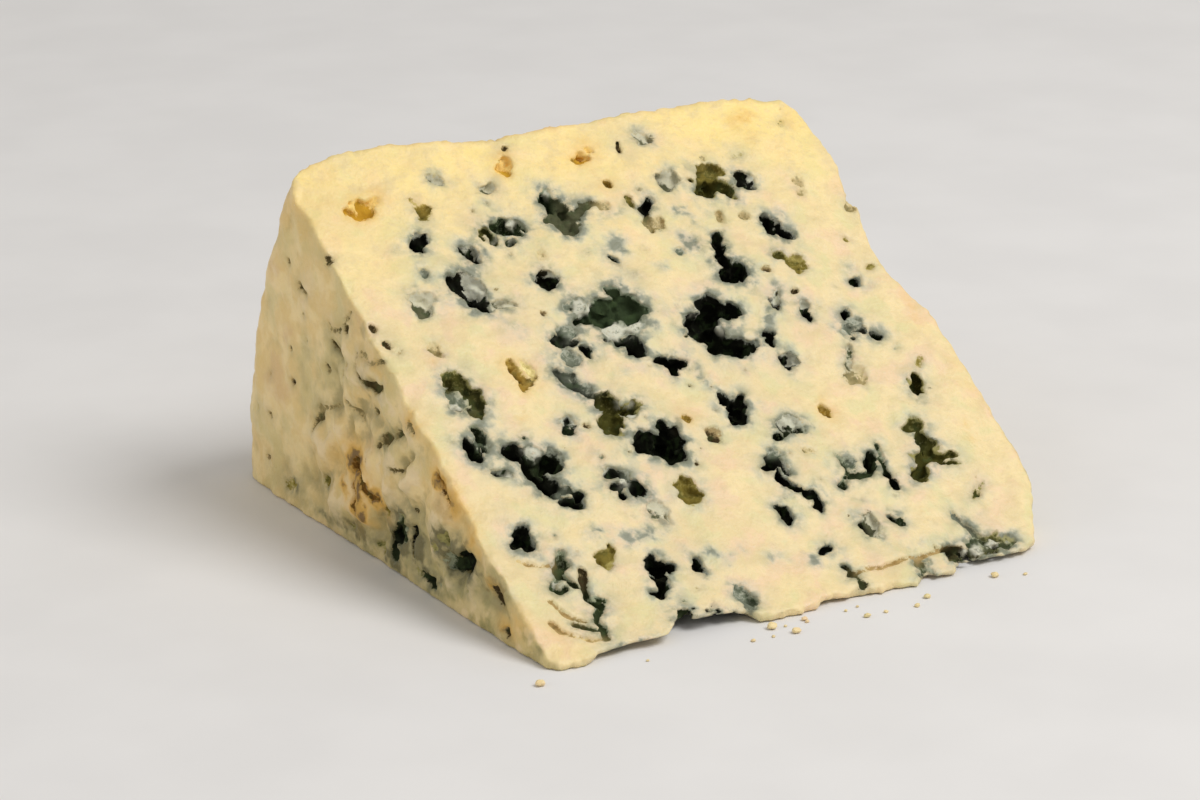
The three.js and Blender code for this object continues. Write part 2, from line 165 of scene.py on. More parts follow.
# A pocket's lobes: (across, up, half width, half height, turn in degrees, depth). On the cut face
# "across" is along X and "up" runs from the tip edge to the rind.
CUT_FACE_POCKETS = {
    "black": [
        (-30.3, 76.8, 1.3, 1.6, 0, 4), (-27.7, 67.4, 1.3, 2.8, 10, 5), (-26.3, 64.4, 1.5, 1.9, 30, 5),
        (11, 76.7, 1.5, 0.8, 50, 3), (-0.4, 67.6, 1.3, 0.5, -50, 2), (-13.6, 65.8, 1.7, 0.9, 0, 3),
        # the dark drop below the right of the middle
        (19.3, 68.7, 0.9, 0.9, 0, 2.5), (18.5, 66.5, 1.1, 1.4, 0, 3), (17.8, 63.8, 1.2, 2, -15, 4),
        (18.3, 60.8, 2.8, 1.8, 10, 5), (20, 62, 1.3, 1, 0, 4),
        (29.3, 68.7, 1, 2.1, 0, 4), (31, 66.8, 1.4, 1.5, 0, 4),
        # the chain down the left side
        (-39.3, 38.6, 1.2, 2.3, 0, 4), (-33, 37, 1.8, 1.3, -20, 5), (-31.6, 33.6, 1.4, 2.6, 15, 5),
        (-30.9, 30.2, 1.6, 2, 0, 4), (-36.7, 34.1, 1.6, 0.6, -30, 1.5),
        # small stars round the middle
        (-16.3, 54.8, 1.3, 1.3, 0, 3), (-14.5, 54, 1.5, 0.5, 0, 3), (-13.1, 52, 0.9, 1.2, 0, 2.5),
        (-6, 52.3, 2, 1, 0, 4), (-5, 50.5, 1.4, 1.6, 0, 4), (-8.6, 53.4, 0.5, 0.5, 0, 1.5),
        (-2, 47.6, 1.4, 0.9, 0, 3.5), (0.1, 46.8, 1.8, 1, 10, 3.5), (-0.8, 45.5, 0.7, 1.2, 0, 3),
        # the great black one, right of the middle
        (7.3, 52.5, 2.1, 2.8, -10, 6), (11.4, 55.5, 2.7, 2.2, 10, 6), (14, 54.1, 1.7, 1.8, 40, 4),
        (9.1, 50.3, 2.4, 1.8, 20, 6), (11.5, 47.3, 3.3, 1.6, -13, 5), (8, 48.3, 1.3, 1, 0, 4),
        (9.2, 52.8, 2.5, 2.6, 0, 6), (10.4, 48.6, 2, 1.3, -20, 5),
        (4.5, 38.8, 0.8, 1.6, 0, 3), (6.1, 37, 1.7, 1.6, 0, 4), (7.3, 38.5, 1, 0.7, 30, 3),
        (5.4, 35.2, 1.4, 1.5, 0, 3),
        (-11.5, 33.5, 3, 2.3, -30, 6), (-7.8, 34, 2.2, 2.6, 0, 6), (-8.5, 31, 2.2, 1.5, 10, 5),
        (-8, 36.3, 1, 1, 0, 4),
        # right of the middle
        (17.8, 48.3, 1.3, 1, 0, 3), (17.4, 46.7, 0.9, 1, 0, 3), (18.2, 42.9, 0.8, 1.6, 20, 3),
        (33.2, 49.5, 1.4, 0.7, 50, 3), (31.8, 45, 0.6, 0.5, 0, 1.5), (36, 44.5, 1.3, 1.1, 0, 3),
        (34.4, 45.8, 0.6, 0.6, 0, 2), (38.4, 55.5, 1.1, 0.9, 0, 2.5), (26.3, 50.7, 0.9, 1.2, 0, 2.5),
        # the lower left
        (-29.3, 27, 1.1, 0.6, 0, 3), (-27.9, 26.2, 1.1, 1.1, 0, 3), (-26.6, 27.6, 1, 0.7, 60, 3),
        (-40, 21.9, 1.3, 0.6, 0, 3), (-38.6, 22.6, 1.2, 2.2, 0, 4), (-38, 23.8, 0.9, 0.8, 0, 3),
        (-19.5, 30, 1, 0.7, 0, 2), (-20.6, 27.3, 1.5, 0.8, 0, 3), (-17.8, 26.2, 1.5, 1.6, 0, 3),
        (-20.4, 25.6, 0.7, 0.9, 0, 2),
        (-21, 13, 1.5, 1.7, 0, 4.5), (-19.2, 12.4, 1, 0.6, 0, 3), (-22, 10.3, 1.2, 1.6, 0, 4),
        (-23.3, 8.4, 1.2, 0.9, 0, 3), (-15.3, 11.2, 0.7, 0.7, 0, 2), (-14.5, 11.7, 0.7, 1.8, 0, 2.5),
        # the lower middle
        (5, 25.3, 1.3, 0.7, 0, 3), (6.2, 25.8, 1.3, 1.3, 0, 4), (6.1, 23.3, 0.8, 1.6, 0, 3),
        (7, 21.5, 0.5, 0.8, 0, 2), (7.4, 20.2, 0.6, 0.6, 0, 2), (9, 18.7, 1.2, 0.7, 0, 2.5),
        (9.7, 17.7, 0.8, 1.8, 0, 2.5), (3.3, 16.5, 1, 1.9, 0, 3), (9.7, 30.3, 0.9, 0.7, 0, 2),
        (6.5, 9.2, 1.6, 0.8, 25, 2.5), (7.6, 5.6, 0.5, 0.5, 0, 1.5),
        # the lower right
        (22.3, 22.5, 1.9, 1.1, 25, 3), (15.3, 19.3, 0.8, 0.6, 0, 1.5), (23.8, 17.3, 0.8, 1.2, 0, 2.5),
        (23.4, 19.6, 0.6, 0.9, 0, 2), (14.6, 11.6, 0.9, 1.1, 0, 2.5),
        # the dark sides of the crescents: black pockets, dark mould and partly painted shade
        (28.8, 78.4, 0.6, 1.6, -15, 2.2), (29.8, 76.6, 1.2, 0.5, 0, 1.6), (-23.5, 73.6, 0.7, 1.5, 10, 2.2),
        (-22.4, 72, 1, 0.6, -20, 1.8), (-23.2, 38.9, 0.7, 0.8, 0, 1.6), (-22, 40.6, 0.5, 0.8, -20, 1.4),
        (-29, 33.6, 1.2, 1.6, 20, 3.4), (-27.6, 32.8, 1, 0.7, 0, 2.4), (7, 53.6, 1.1, 1.2, 0, 4),
        (-28, 34.8, 1.6, 1.3, 0, 4.5), (19.8, 11.8, 0.6, 0.9, 10, 1.4),
    ],
    # Painted shade over dark mould on the lower left alone, with a pale wall opposite.
    "crescent": [
        (-25.5, 67, 1.5, 3.4, 15, 3), (-22.4, 73.4, 1.5, 1.9, 0, 1.7), (29.8, 77.9, 1.2, 1.5, 0, 1.2),
        (-13.2, 66.2, 2.1, 1.8, 0, 2.6), (-22.6, 39.5, 1, 1.3, -15, 1), (19.4, 43.3, 1.1, 1.7, -10, 2),
        (-29.6, 77.4, 1.2, 1.4, 0, 2), (22.5, 54.3, 2.1, 0.9, 55, 1.8), (27, 52.4, 0.7, 1.5, -10, 1.4),
        (30.6, 68.6, 1.2, 1.6, 0, 2), (12.6, 31.6, 2.3, 1.5, 10, 1.8), (9.8, 76.2, 1.2, 0.9, 30, 1.6),
        (7.4, 24.8, 0.8, 1.6, 10, 1.6), (-20.4, 30, 1.1, 1, 0, 1.6),
    ],
    "slate": [
        (-4.4, 77.4, 2.4, 3.6, 0, 2), (-4.4, 75, 1.4, 2, 0, 1.6), (-0.5, 78, 1.5, 1, 25, 1.2),
        (-7.3, 77, 0.8, 0.5, 40, 1.2),
    ],
    "forest": [
        (-10.2, 58, 1.7, 1.6, 0, 4), (-6.5, 58.2, 3.2, 2.5, 5, 2.6), (-2.5, 58, 2.7, 3, 0, 2.8),
        (-3.2, 61.3, 1.2, 1.8, 0, 2), (-5.3, 80.7, 1.2, 2.2, 0, 4), (8.2, 51.2, 1.6, 1.4, 0, 5),
        (-9.6, 32, 2.4, 1.6, 0, 5),
    ],
    "olive": [
        (23, 78.2, 2.8, 2, 20, 4), (25.6, 77.5, 1, 2.8, 8, 2.5), (20.4, 80, 0.5, 0.7, 0, 1.5),
        (-14.5, 42, 2.2, 2, 0, 3), (-15.5, 38.5, 1.8, 2.6, -15, 2.4), (-11.5, 40.3, 2.6, 0.9, 12, 2),
        (-36.8, 51, 2.1, 1.3, 35, 1.8), (-34.9, 48.4, 1.3, 3, 5, 1.8), (-35.8, 45, 1.7, 1.1, 0, 1.6),
        (-38.6, 46.2, 1.4, 0.5, -50, 1), (-18.2, 76.3, 0.9, 2.2, 0, 1.8), (37.4, 33.8, 1.3, 2.5, -28, 3),
        # the branching one at the lower right
        (33, 27, 1.7, 1, 10, 1.8), (32.8, 24.3, 1.4, 1.9, 0, 2.2), (32.8, 22.2, 1.5, 1.5, 0, 2.2),
        (30.8, 21, 1.4, 1.6, -40, 2.2), (29, 18.7, 1.2, 2.4, -35, 2.2),
        (27.8, 62.4, 0.8, 1.4, 30, 1.2), (36.3, 12.8, 2, 0.6, 45, 0.6),
    ],
    "moss": [
        (24.6, 81.2, 2.7, 1.7, 0, 2), (-9.7, 24.2, 2.1, 2.9, 0, 2), (29.6, 60.8, 2, 1.8, 20, 0.9),
        (-28.2, 16.2, 1.5, 1.5, 0, 1), (-26.9, 17.3, 0.7, 1.6, -25, 1),
        (-26.8, 82.6, 1.6, 1.7, 0, 0.8), (8, 77.5, 0.5, 2, 10, 0.6),
        (42.4, 57.3, 0.9, 0.6, 30, 0.6), (41.2, 63.4, 0.7, 0.6, 0, 0.6), (42.3, 88, 0.6, 0.9, -20, 0.5),
        (40.3, 37.9, 1.1, 0.6, 50, 0.6), (31.3, 83, 1, 0.8, 0, 0.5),
    ],
    "green": [
        (-15, 77.8, 2.2, 1.6, 20, 3.5), (-12.9, 76.6, 1.6, 1.2, 60, 3), (-15, 74, 1.2, 0.7, 10, 2),
        (-37, 41.5, 1.1, 1.4, 0, 3), (-37.3, 38.8, 0.6, 1.3, 0, 2), (-28.8, 34.3, 2, 1.5, -30, 4),
        (8, 3.8, 1.2, 0.6, 0, 1), (9.5, 49.5, 0.8, 0.8, 0, 5), (-35, 17.2, 0.7, 1.9, -32, 1.4),
        (21, 10.8, 0.8, 1, 0, 1.2), (-22, 3, 1.4, 2.2, -20, 3), (-10, 3.6, 0.8, 0.8, 0, 1.2),
        (19.5, 1.7, 0.7, 2.2, -10, 1.2), (32.6, 24.2, 1, 1.7, 0, 2.6),
        # the crumbled ground along the right of the tip
        (26.2, 3.2, 1.2, 1.7, 0, 2), (28.6, 2.6, 1.3, 1.2, 0, 1.7),
    ],
    "grey": [
        (-34.7, 65.9, 1.8, 2.3, 0, 1.3), (-22, 62.8, 1.8, 1, -15, 1), (16.7, 80.9, 1.9, 1.9, 0, 1.6),
        (-16.3, 22, 1.3, 1.9, 0, 0.8), (-21.6, 88.2, 1.4, 1.2, 0, 1), (15.4, 11.4, 1.5, 2.5, 0, 1.2),
        (16.4, 90, 1.5, 1.6, 0, 1), (-14, 85.2, 1.5, 1, 0, 0.7),
    ],
    "silver": [
        (-18, 47, 1.3, 3.8, 32, 1), (33, 47.3, 2, 1.5, 0, 0.6), (-11, 4.2, 1.3, 2, 0, 0.8),
        (-32, 71.2, 0.7, 0.9, 0, 0.7), (11.8, 66.9, 0.9, 0.6, 0, 0.8), (-30.2, 36.4, 1.8, 1, -30, 1.2),
        (19.5, 1.8, 1.2, 2, -10, 0.7), (-28.4, 28.6, 1.6, 0.9, 0, 0.9), (-4.8, 54.8, 4, 1.5, 0, 1.3),
        (-14.6, 55.8, 1.6, 1.2, 0, 0.8), (-10.8, 60.2, 1.8, 1.2, 0, 1.2), (30.6, 3.4, 2.2, 1.6, 0, 0.8),
        (-37, 47.6, 1.9, 2.4, 10, 0.9), (-37.4, 39.6, 1.4, 1, -60, 0.8), (-16.4, 51.6, 1.4, 1.6, 0, 0.7),
        (7.4, 27.4, 1, 1.2, 20, 0.8), (-18.6, 29, 1.2, 1.2, 0, 0.9), (18.6, 22.8, 1.2, 1.4, 0, 0.6),
        (35, 3.4, 2.4, 1.3, 0, 0.7),
    ],
    "tan": [
        (28.9, 37.8, 1.6, 1.6, 0, 0.6), (38.5, 75.4, 0.8, 2, -10, 0.5), (22, 72.3, 0.8, 1.4, -25, 0.6),
        (26, 71.5, 0.9, 0.7, 0, 0.8), (-11.4, 71.2, 1.2, 0.8, 40, 0.5), (45.6, 70.2, 1, 1.7, 0, 0.6),
        (13.2, 26.4, 1.2, 0.8, -30, 0.5), (10.3, 73, 2, 1.4, 10, 0.6), (3, 77.8, 1.4, 0.8, 0, 0.6),
        (6, 68.6, 0.6, 0.5, 0, 0.5), (-36.4, 57.6, 1.2, 1.6, -30, 0.4), (24.8, 84, 0.6, 0.6, 0, 0.4),
    ],
    "brown": [
        (-0.4, 33, 1, 1.5, 0, 1.4), (26.3, 55.3, 0.9, 0.4, 25, 0.8), (11.6, 88.5, 0.5, 1.2, -20, 1),
        (-7.7, 92, 0.5, 0.5, 0, 0.8), (-8.2, 94.2, 0.5, 0.5, 0, 0.8), (-45.6, 76.7, 0.7, 1, 0, 1.2),
        (-44.3, 63, 0.5, 0.8, 0, 0.6), (8.3, 1.4, 0.7, 0.6, 0, 0.8), (23.8, 60.3, 0.7, 0.6, 0, 1),
        (-19.6, 38.9, 0.6, 0.5, 0, 0.8), (-16.7, 60.1, 0.5, 0.5, 0, 0.8), (4.4, 51.3, 0.4, 0.4, 0, 0.6),
        (-43.6, 59.8, 0.4, 0.9, 20, 0.6), (-42.6, 57.8, 0.8, 0.4, 30, 0.5), (-12.2, 1.6, 0.7, 0.6, 0, 0.8),
    ],
    "amber": [
        (-36.6, 84.8, 2.1, 1.9, 20, 1.6), (-34.4, 86, 2, 0.9, 15, 1), (-9.3, 88.9, 1, 1.7, -30, 1),
        (4.8, 88.3, 2.4, 1.3, 35, 1.2), (3.8, 87.4, 1.6, 1.1, 20, 1.2),
    ],
    "gold": [
        (5.9, 81.6, 0.7, 0.9, 0, 0.7), (19.9, 33, 1, 1.2, 0, 0.9), (-3.4, 36.6, 0.5, 0.9, -20, 0.5),
        (-26.3, 50.8, 1.2, 2.4, -12, 1.2), (-25.4, 48, 1.7, 1, 20, 1), (-26.2, 83.6, 0.9, 1, 0, 0.6),
    ],
    "straw": [(-23.8, 50.4, 1.1, 2, -8, 0.8)],
}
# Under the tip, where it stands off the table, the dark pockets are mould and partly painted shade
# in the gap there: "up" runs back from the tip.
UNDERSIDE_POCKETS = {
    "black": [(-20.5, 5.4, 3.4, 3.2, 0, 1.0), (-15, 5, 3.4, 2.8, 0, 0.8)],
    "green": [(-33, 4.4, 3.4, 1.6, 0, 0.6), (30, 3.6, 5, 1.4, 0, 0.5)],
}

# Thin veins and cracks on the cut face: (what grows there, half width, depth, a chain of places).
CUT_FACE_STROKES = [
    # the vein that runs down to the left end of the tip, with a ring beside it
    ("green", 0.4, 1.1, [(-36.4, 15.6), (-35.2, 14.4), (-34.7, 12.9)]),
    ("green", 0.35, 0.9, [(-36.3, 15), (-37.8, 14.4), (-38.5, 13.3), (-37.6, 12.4), (-36.2, 13)]),
    ("brown", 0.45, 1.0, [(-33.1, 14.9), (-33.4, 13.2), (-33.7, 12)]),
    ("green", 0.65, 1.4, [(-33.9, 12), (-33.7, 10), (-32.8, 8.4)]),
    ("green", 0.4, 1.0, [(-32.9, 10.4), (-31.6, 9.8)]),
    ("green", 0.5, 1.1, [(-33.4, 8.2), (-34.9, 6.6), (-34.4, 4.8), (-35.2, 3.4)]),
    ("green", 0.4, 0.9, [(-38.4, 6.6), (-36.6, 5.2), (-34.6, 4.6)]),
    # the black one down the left side, and links between the small black pockets
    ("black", 1.0, 3.0, [(-33.8, 38), (-32.2, 34.6), (-31.2, 30.5)]),
    ("black", 0.45, 1.6, [(6.6, 22.8), (7.2, 20.8), (8.8, 19.2)]),
    ("black", 0.45, 1.3, [(-19.9, 49.4), (-18.7, 47), (-17, 45.2), (-15.8, 43.6)]),
    ("green", 0.45, 1.2, [(15.3, 19.1), (16.4, 20.6), (18, 20.4), (20.4, 20.3), (21.8, 21.6)]),
    ("green", 0.35, 0.9, [(17.2, 24.5), (17.4, 22.6), (17, 21)]),
    ("green", 0.35, 0.9, [(24.8, 25), (24.2, 22.6), (23.4, 20.4)]),
    ("grey", 0.45, 0.9, [(30.6, 43.6), (29.6, 41.6), (28, 39.8)]),
    # twigs of the branching one
    ("olive", 0.6, 1.4, [(33.4, 21.4), (35, 20.4), (36.4, 20.3)]),
    ("olive", 0.4, 1.0, [(32.4, 20.4), (34.4, 19.2), (36.2, 18.6)]),
    # the crumbled ground along the right of the tip
    ("green", 0.4, 1.1, [(29.6, 4.2), (31.4, 5.2), (32.6, 4), (34.2, 3.2), (36.4, 2.6)]),
    ("olive", 0.4, 1.0, [(30.6, 2.4), (33, 2.2), (35, 4.4), (37.6, 3.4)]),
    ("olive", 0.35, 0.9, [(32.2, 5.8), (33.4, 4.8), (35.6, 5.4)]),
    ("brown", 0.35, 0.9, [(26.4, 4.8), (28, 4), (29.8, 2.2)]),
    ("silver", 0.5, 0.9, [(30.2, 10.2), (31.2, 7.6), (32.2, 5.6)]),
    ("brown", 0.35, 0.8, [(31, 9), (31.6, 7)]),
    ("crack", 0.3, 0.6, [(8.6, 4), (12, 4), (16, 4.3), (21, 4.2), (25.4, 4.4)]),
    ("green", 0.3, 0.7, [(8, 5), (8.3, 3), (8, 1)]),
    ("green", 0.35, 1.0, [(10.2, 30), (11.6, 30.6), (14.2, 30.4)]),
    # the cracks at the left end of the tip, and one above them
    ("crack", 0.35, 0.6, [(-40.2, 11.4), (-39.4, 9.6), (-38.2, 7.8), (-36.8, 6.8)]),
    ("crack", 0.35, 0.6, [(-41.8, 8), (-41, 6.2), (-39.4, 4.6), (-37, 3.2), (-35, 3)]),
    ("crack", 0.35, 0.6, [(-41.5, 19.2), (-39.2, 18), (-36.8, 17.2)]),
]

# On the flat faces "across" runs from the axis to the rind, and "up" is +Z.
LEFT_FACE_POCKETS = {
    "pitch": [
        (23.4, 8.8, 2.5, 1.9, -20, 3.6), (25.8, 7.4, 1.8, 1.3, -30, 3), (43.9, 6, 1.1, 1.8, 25, 2.8),
        (45, 3.8, 0.6, 1.2, 20, 1.2), (34.6, 2.4, 1.7, 0.6, 10, 1.3),
    ],
    "green": [
        (28.6, 7, 1.8, 1.5, -10, 0.8), (42.6, 7.2, 1.7, 2.2, 35, 0.9), (44.6, 3.6, 1.1, 1.7, 20, 0.8),
        (33.8, 2.4, 2.4, 0.9, 15, 0.8),
    ],
    "olive": [
        (28.8, 10.4, 1.4, 0.9, 20, 0.8), (31.4, 8.8, 1, 0.7, -40, 0.6), (41.6, 9.4, 1.1, 0.7, 0, 0.6),
        (37.6, 2.2, 1, 0.7, 0, 0.6), (49, 2.6, 1.6, 0.8, 0, 0.7), (22.6, 5, 0.8, 0.5, 30, 0.6),
        (57.6, 3, 1.2, 0.6, 10, 0.6),
    ],
    "moss": [(66.6, 7.4, 0.9, 1, 10, 0.4), (77.4, 3, 2.2, 0.7, 5, 0.4), (46.8, 8.6, 1.4, 1, 0, 0.6)],
    "rust": [(55.8, 13.6, 1.2, 1, -20, 1)],
    "brown": [(15.1, 6.3, 2, 1.2, 25, 1.8), (12.2, 1.9, 1.3, 0.5, 10, 0.8)],
    "slit": [
        (58.4, 34, 0.8, 0.8, 0, 1.2), (60, 26.5, 0.6, 0.5, 0, 0.8), (38.6, 24.4, 1.2, 0.9, 0, 0.6),
        (50, 23.6, 0.8, 0.6, -30, 0.8), (46.4, 20.4, 1.3, 0.8, -35, 0.8), (49.4, 27.6, 1.2, 0.6, 0, 0.9),
        (67.4, 18.2, 1.4, 0.9, -20, 0.6), (63.6, 43.3, 0.9, 0.6, -10, 1.2), (64.8, 26, 0.5, 0.9, -20, 0.6),
    ],
}
LEFT_FACE_STROKES = [
    ("slit", 0.4, 0.9, [(46.4, 28.4), (49, 27.4), (52.5, 28), (55.5, 29.2)]),
    ("slit", 0.4, 0.8, [(42.2, 22.8), (45.5, 20.8), (48.8, 18.4)]),
    ("slit", 0.4, 0.8, [(60.8, 29), (63.6, 30.4)]),
    ("slit", 0.4, 0.7, [(66.6, 18.6), (68, 17.2), (69.4, 15)]),
    ("slit", 0.4, 0.6, [(54, 20.8), (58, 22.4)]),
    ("slit", 0.4, 0.7, [(70.4, 36.4), (73, 37)]),
    ("slit", 0.35, 0.6, [(47, 35.4), (51, 36.6)]),
    ("slit", 0.35, 0.6, [(56.6, 37), (58.6, 35.4), (60.4, 33.2)]),
    ("slit", 0.35, 0.5, [(61, 33), (64.2, 32.2)]),
    ("slit", 0.35, 0.5, [(39.4, 18.4), (42.2, 16.6), (45, 16.2)]),
    ("slit", 0.35, 0.5, [(60.6, 22), (62.6, 20.4), (66, 19.4)]),
    ("slit", 0.35, 0.5, [(47.2, 32.2), (49.6, 31.2), (53.4, 31.6)]),
    ("pitch", 0.4, 1.1, [(39.2, 8.6), (39.5, 6.4), (39.2, 4.4)]),
    ("rust", 0.5, 0.7, [(54.4, 12.4), (51.6, 10.2), (49.6, 9.8)]),
    ("rust", 0.45, 0.7, [(56.6, 12.4), (55.6, 9), (54.8, 6.6)]),
    ("rust", 0.35, 0.5, [(31.8, 19.6), (29.4, 18.2), (28, 15.6)]),
]

# Chips of paste left standing in the cut face's pockets: (across, up, half width, half height,
# turn). They stand on the pocket's floor and broaden downwards.
CUT_FACE_CHIPS = [
    (-6.7, 55, 2.1, 1.3, 5), (-2.8, 54.6, 1.6, 1.1, -10), (-9.7, 60, 1.4, 1, 20),
    (8.2, 56.2, 0.8, 0.9, 0), (13.4, 51.4, 2.4, 1.3, 0), (-3.8, 82.6, 1.2, 1.2, 0),
    (-12.8, 78.2, 0.9, 0.7, 20), (-14.8, 75.3, 1.2, 0.6, 0), (-16.6, 75.6, 0.6, 0.6, 0),
    (-11.2, 42.4, 1.5, 1.1, 0), (-11.6, 38.2, 1.6, 1.2, 20), (-34.6, 33.2, 1.6, 1, -20),
    (-38.2, 46.6, 0.5, 0.8, 20), (-36.9, 14, 0.6, 0.5, 0), (-19.4, 28.6, 0.7, 0.5, 0),
    (-30, 36.8, 1.2, 0.7, -25), (30.9, 3.2, 0.7, 0.9, 0), (34, 4, 0.8, 0.5, 20), (28.4, 3.8, 0.5, 0.4, 0),
]
CHIP_TOP = 0.3  # how far under the face their tops lie
CHIP_CROWN = 0.6
CHIP_SPREAD = 0.05  # how much broader for each millimetre further down
CHIP_REACH = 7.5

# Stains that leave no hole in the face: (across, up, half width, half height, turn, strength).
CUT_FACE_AMBER = [
    (-36.3, 58, 1.6, 1.4, 0, 0.35), (-38, 55.2, 1.2, 1, 0, 0.35), (45, 49.5, 0.8, 2.4, 0, 0.5),
    (35.6, 90.2, 2.4, 1.3, 15, 1.0), (34.4, 88.6, 1.2, 1.6, 0, 0.5), (20.4, 34.4, 1.2, 1.4, 0, 0.4),
    (4.8, 88.4, 3.2, 1.8, 35, 1.0),
    (45, 45, 0.8, 1.4, 0, 0.5), (45.5, 58, 0.8, 2.6, 0, 0.4), (41.3, 25, 0.8, 1.4, 0, 0.4),
    (41, 22.4, 1, 0.8, 0, 0.4), (-29, 42.4, 1, 0.7, 0, 0.4), (-41, 86, 4, 5, 0, 0.2),
    (35, 87.6, 2, 3, 0, 0.3), (-41.5, 5, 2.6, 3, 0, 0.25), (46, 33, 1, 4, 0, 0.3),
    (44, 88, 2, 2, 0, 0.3), (-40.5, 2, 3, 1.5, 0, 0.25),
]
# The further its strength is over 1, the browner a stain is.
LEFT_FACE_AMBER = [
    (27.2, 16.8, 2.2, 3.8, -50, 1.05), (30.8, 19, 2.4, 1.5, 20, 2.2), (21.6, 12.6, 1.8, 3.4, -50, 0.9),
    (15.4, 7.2, 2.4, 1.6, 20, 1.0), (9, 4.2, 1.8, 3, -55, 0.6), (12, 2.4, 3, 1.4, 10, 0.8),
    # the rusty one in the middle: a dark heart, two streaks down from it and a tint round them
    (55.8, 13.4, 3, 2.8, 10, 2.6), (54.2, 10, 1.4, 3.8, 8, 2.1), (50.8, 9.8, 3.4, 1.4, 20, 2.4),
    (53.4, 6.6, 2.6, 1.6, -20, 1.8), (54.6, 10.4, 5, 5, 0, 0.7), (59.4, 9, 1.2, 2.8, -35, 1.3),
    (61, 12.6, 2.8, 2.4, 0, 0.7), (80, 46, 8, 4, -50, 0.35),
    (38.4, 25, 2.6, 1.2, 30, 0.9), (72, 47.5, 6, 1.6, 34, 0.5), (87, 30, 2, 8, 0, 0.3),
    (33, 22, 3, 1, 35, 0.8), (48, 30.8, 4, 1, 30, 0.5),
]
CUT_FACE_STAINS = [
    (1.5, 69.7, 1.8, 2.6, 0, 1.5), (14, 68.2, 1.9, 2.8, 0, 1.6), (15.5, 74.3, 1.6, 1.4, 0, 1.2),
    (17, 72.3, 1.6, 1.2, 0, 0.8), (7, 64.6, 1.5, 1.2, 0, 0.9), (3, 43.5, 1, 3, 0, 1.0),
    (19.5, 51.4, 1, 3.2, -32, 1.3), (-23.4, 18.5, 2.6, 1.9, 0, 1.1), (-27.8, 20.6, 2, 1, 0, 1.2),
    (-11.5, 13.2, 1.5, 1.6, 0, 1.2), (-10.5, 11.4, 1.7, 1.3, 0, 1.1), (-2.5, 10, 2.2, 1.6, 0, 0.9),
    (3.2, 7.8, 1.9, 1.5, 0, 1.3), (-24.4, 70, 1.8, 1.6, 0, 1.0), (4, 76.4, 3, 1.8, 0, 0.8),
    (20.6, 58.6, 1.6, 1.4, 0, 0.6), (-20.5, 18.4, 3.4, 1.4, 10, 1.5), (-40, 27, 1.4, 2, 0, 0.3),
    (34, 46.6, 3, 2.4, 0, 0.6), (34, 48, 1.4, 1.2, 0, 1.6), (21, 73, 3, 1.6, 0, 0.5),
    (38.5, 57.6, 1.4, 2.4, -30, 0.8), (-6.6, 12.2, 0.8, 2, 0, 0.7), (31.6, 8.4, 1.4, 2.6, 20, 1.0),
    (33, 4, 4, 2, 0, 0.8), (27, 4, 2, 1.6, 0, 1.2), (8, 4.6, 1.2, 1.8, 0, 1.2),
    (-18.6, 47.4, 1.4, 3, 35, 1.4), (-33.6, 35, 4, 2, -30, 0.8), (1, 75, 1.6, 1.4, 0, 0.5),
    (-31.6, 1, 3.4, 0.9, 0, 1.4), (-13, 56, 2, 2.4, 0, 1.4), (-28, 29.6, 2, 1.4, 0, 0.8),
    (21, 12.4, 1.6, 1.6, 0, 1.2), (20.6, 6.4, 2.4, 0.4, 0, 0.6), (6.2, 28, 0.8, 1.6, 0, 0.7),
    (16.4, 23, 2, 1.6, 0, 0.6), (-40, 41, 1.2, 1.4, 0, 0.6), (-36.5, 38, 1.4, 2, 0, 0.9),
    (18.8, 45, 1.6, 1.4, 0, 0.6), (-22.6, 58, 2.2, 2.2, 0, 0.7), (-9, 47, 2.4, 1, 30, 0.4),
    (11, 20.6, 1.4, 1, 0, 0.5), (-38.4, 46.4, 1.2, 1, 0, 0.9),
]
LEFT_FACE_STAINS = [
    (24.5, 8.4, 4.4, 3.4, -20, 1.6), (43, 6.6, 3.6, 4.6, 20, 1.7), (38, 6, 1.6, 3.2, 0, 1.5),
    (46, 20.4, 4, 1.8, -35, 1.1), (51, 27.6, 4, 1.2, 20, 1.0), (60, 12, 3.4, 3, 0, 0.5),
    (66, 7.4, 2.4, 2.6, 0, 0.9), (76.5, 3.4, 4, 1.8, 5, 1.2), (50, 22.6, 2, 2, 0, 0.6),
    (68, 17, 2.6, 1.4, -40, 0.7), (63, 29.8, 2, 1, 30, 0.6), (34, 2.8, 4.6, 1.6, 15, 1.5),
    (58, 34, 1.6, 1.6, 0, 0.6), (40, 12, 3, 2.4, 0, 0.7), (56, 2.8, 7, 2.2, 0, 1.5),
    (30, 10, 3, 2.6, 0, 1.8), (19.6, 8, 2.4, 2, 0, 0.9), (48, 8, 3, 3, 0, 1.0),
    (15, 7, 3, 2.4, 20, 1.9), (66, 2, 6, 1.2, 0, 1.1), (36, 20, 3, 1.6, 30, 0.4),
    (12.2, 2, 2.4, 1.4, 10, 1.6),
    (53, 18, 2.4, 1.4, 0, 0.4), (45, 1.8, 3.4, 1.6, 0, 1.5), (35, 9, 1.6, 2.4, 0, 0.5),
]

# ---- Noise -----------------------------------------------------------------------------------

SEED = 7
TABLE_SIZE = 256  # so that byte arithmetic wraps round the tables by itself
CHUNK = 65_536  # points worked on at a time, few enough to stay in the processor's cache
CHANNEL_STEP = 17.31  # moves the noise's space on, so that channels differ
NOISE_GAIN = 1.6  # brings the noise to about -1 to 1
# The first channel of each relief, which takes one for each of its layers.
CHANNELS = {"cut": 10, "left_edge": 15, "left": 20, "left_lumps": 25, "right": 30,
            "right_lumps": 35, "rind": 40, "top_edge": 45, "underside": 50, "tip": 55,
            "mould_edge": 75}
WARP_CHANNELS = (60, 65, 70)

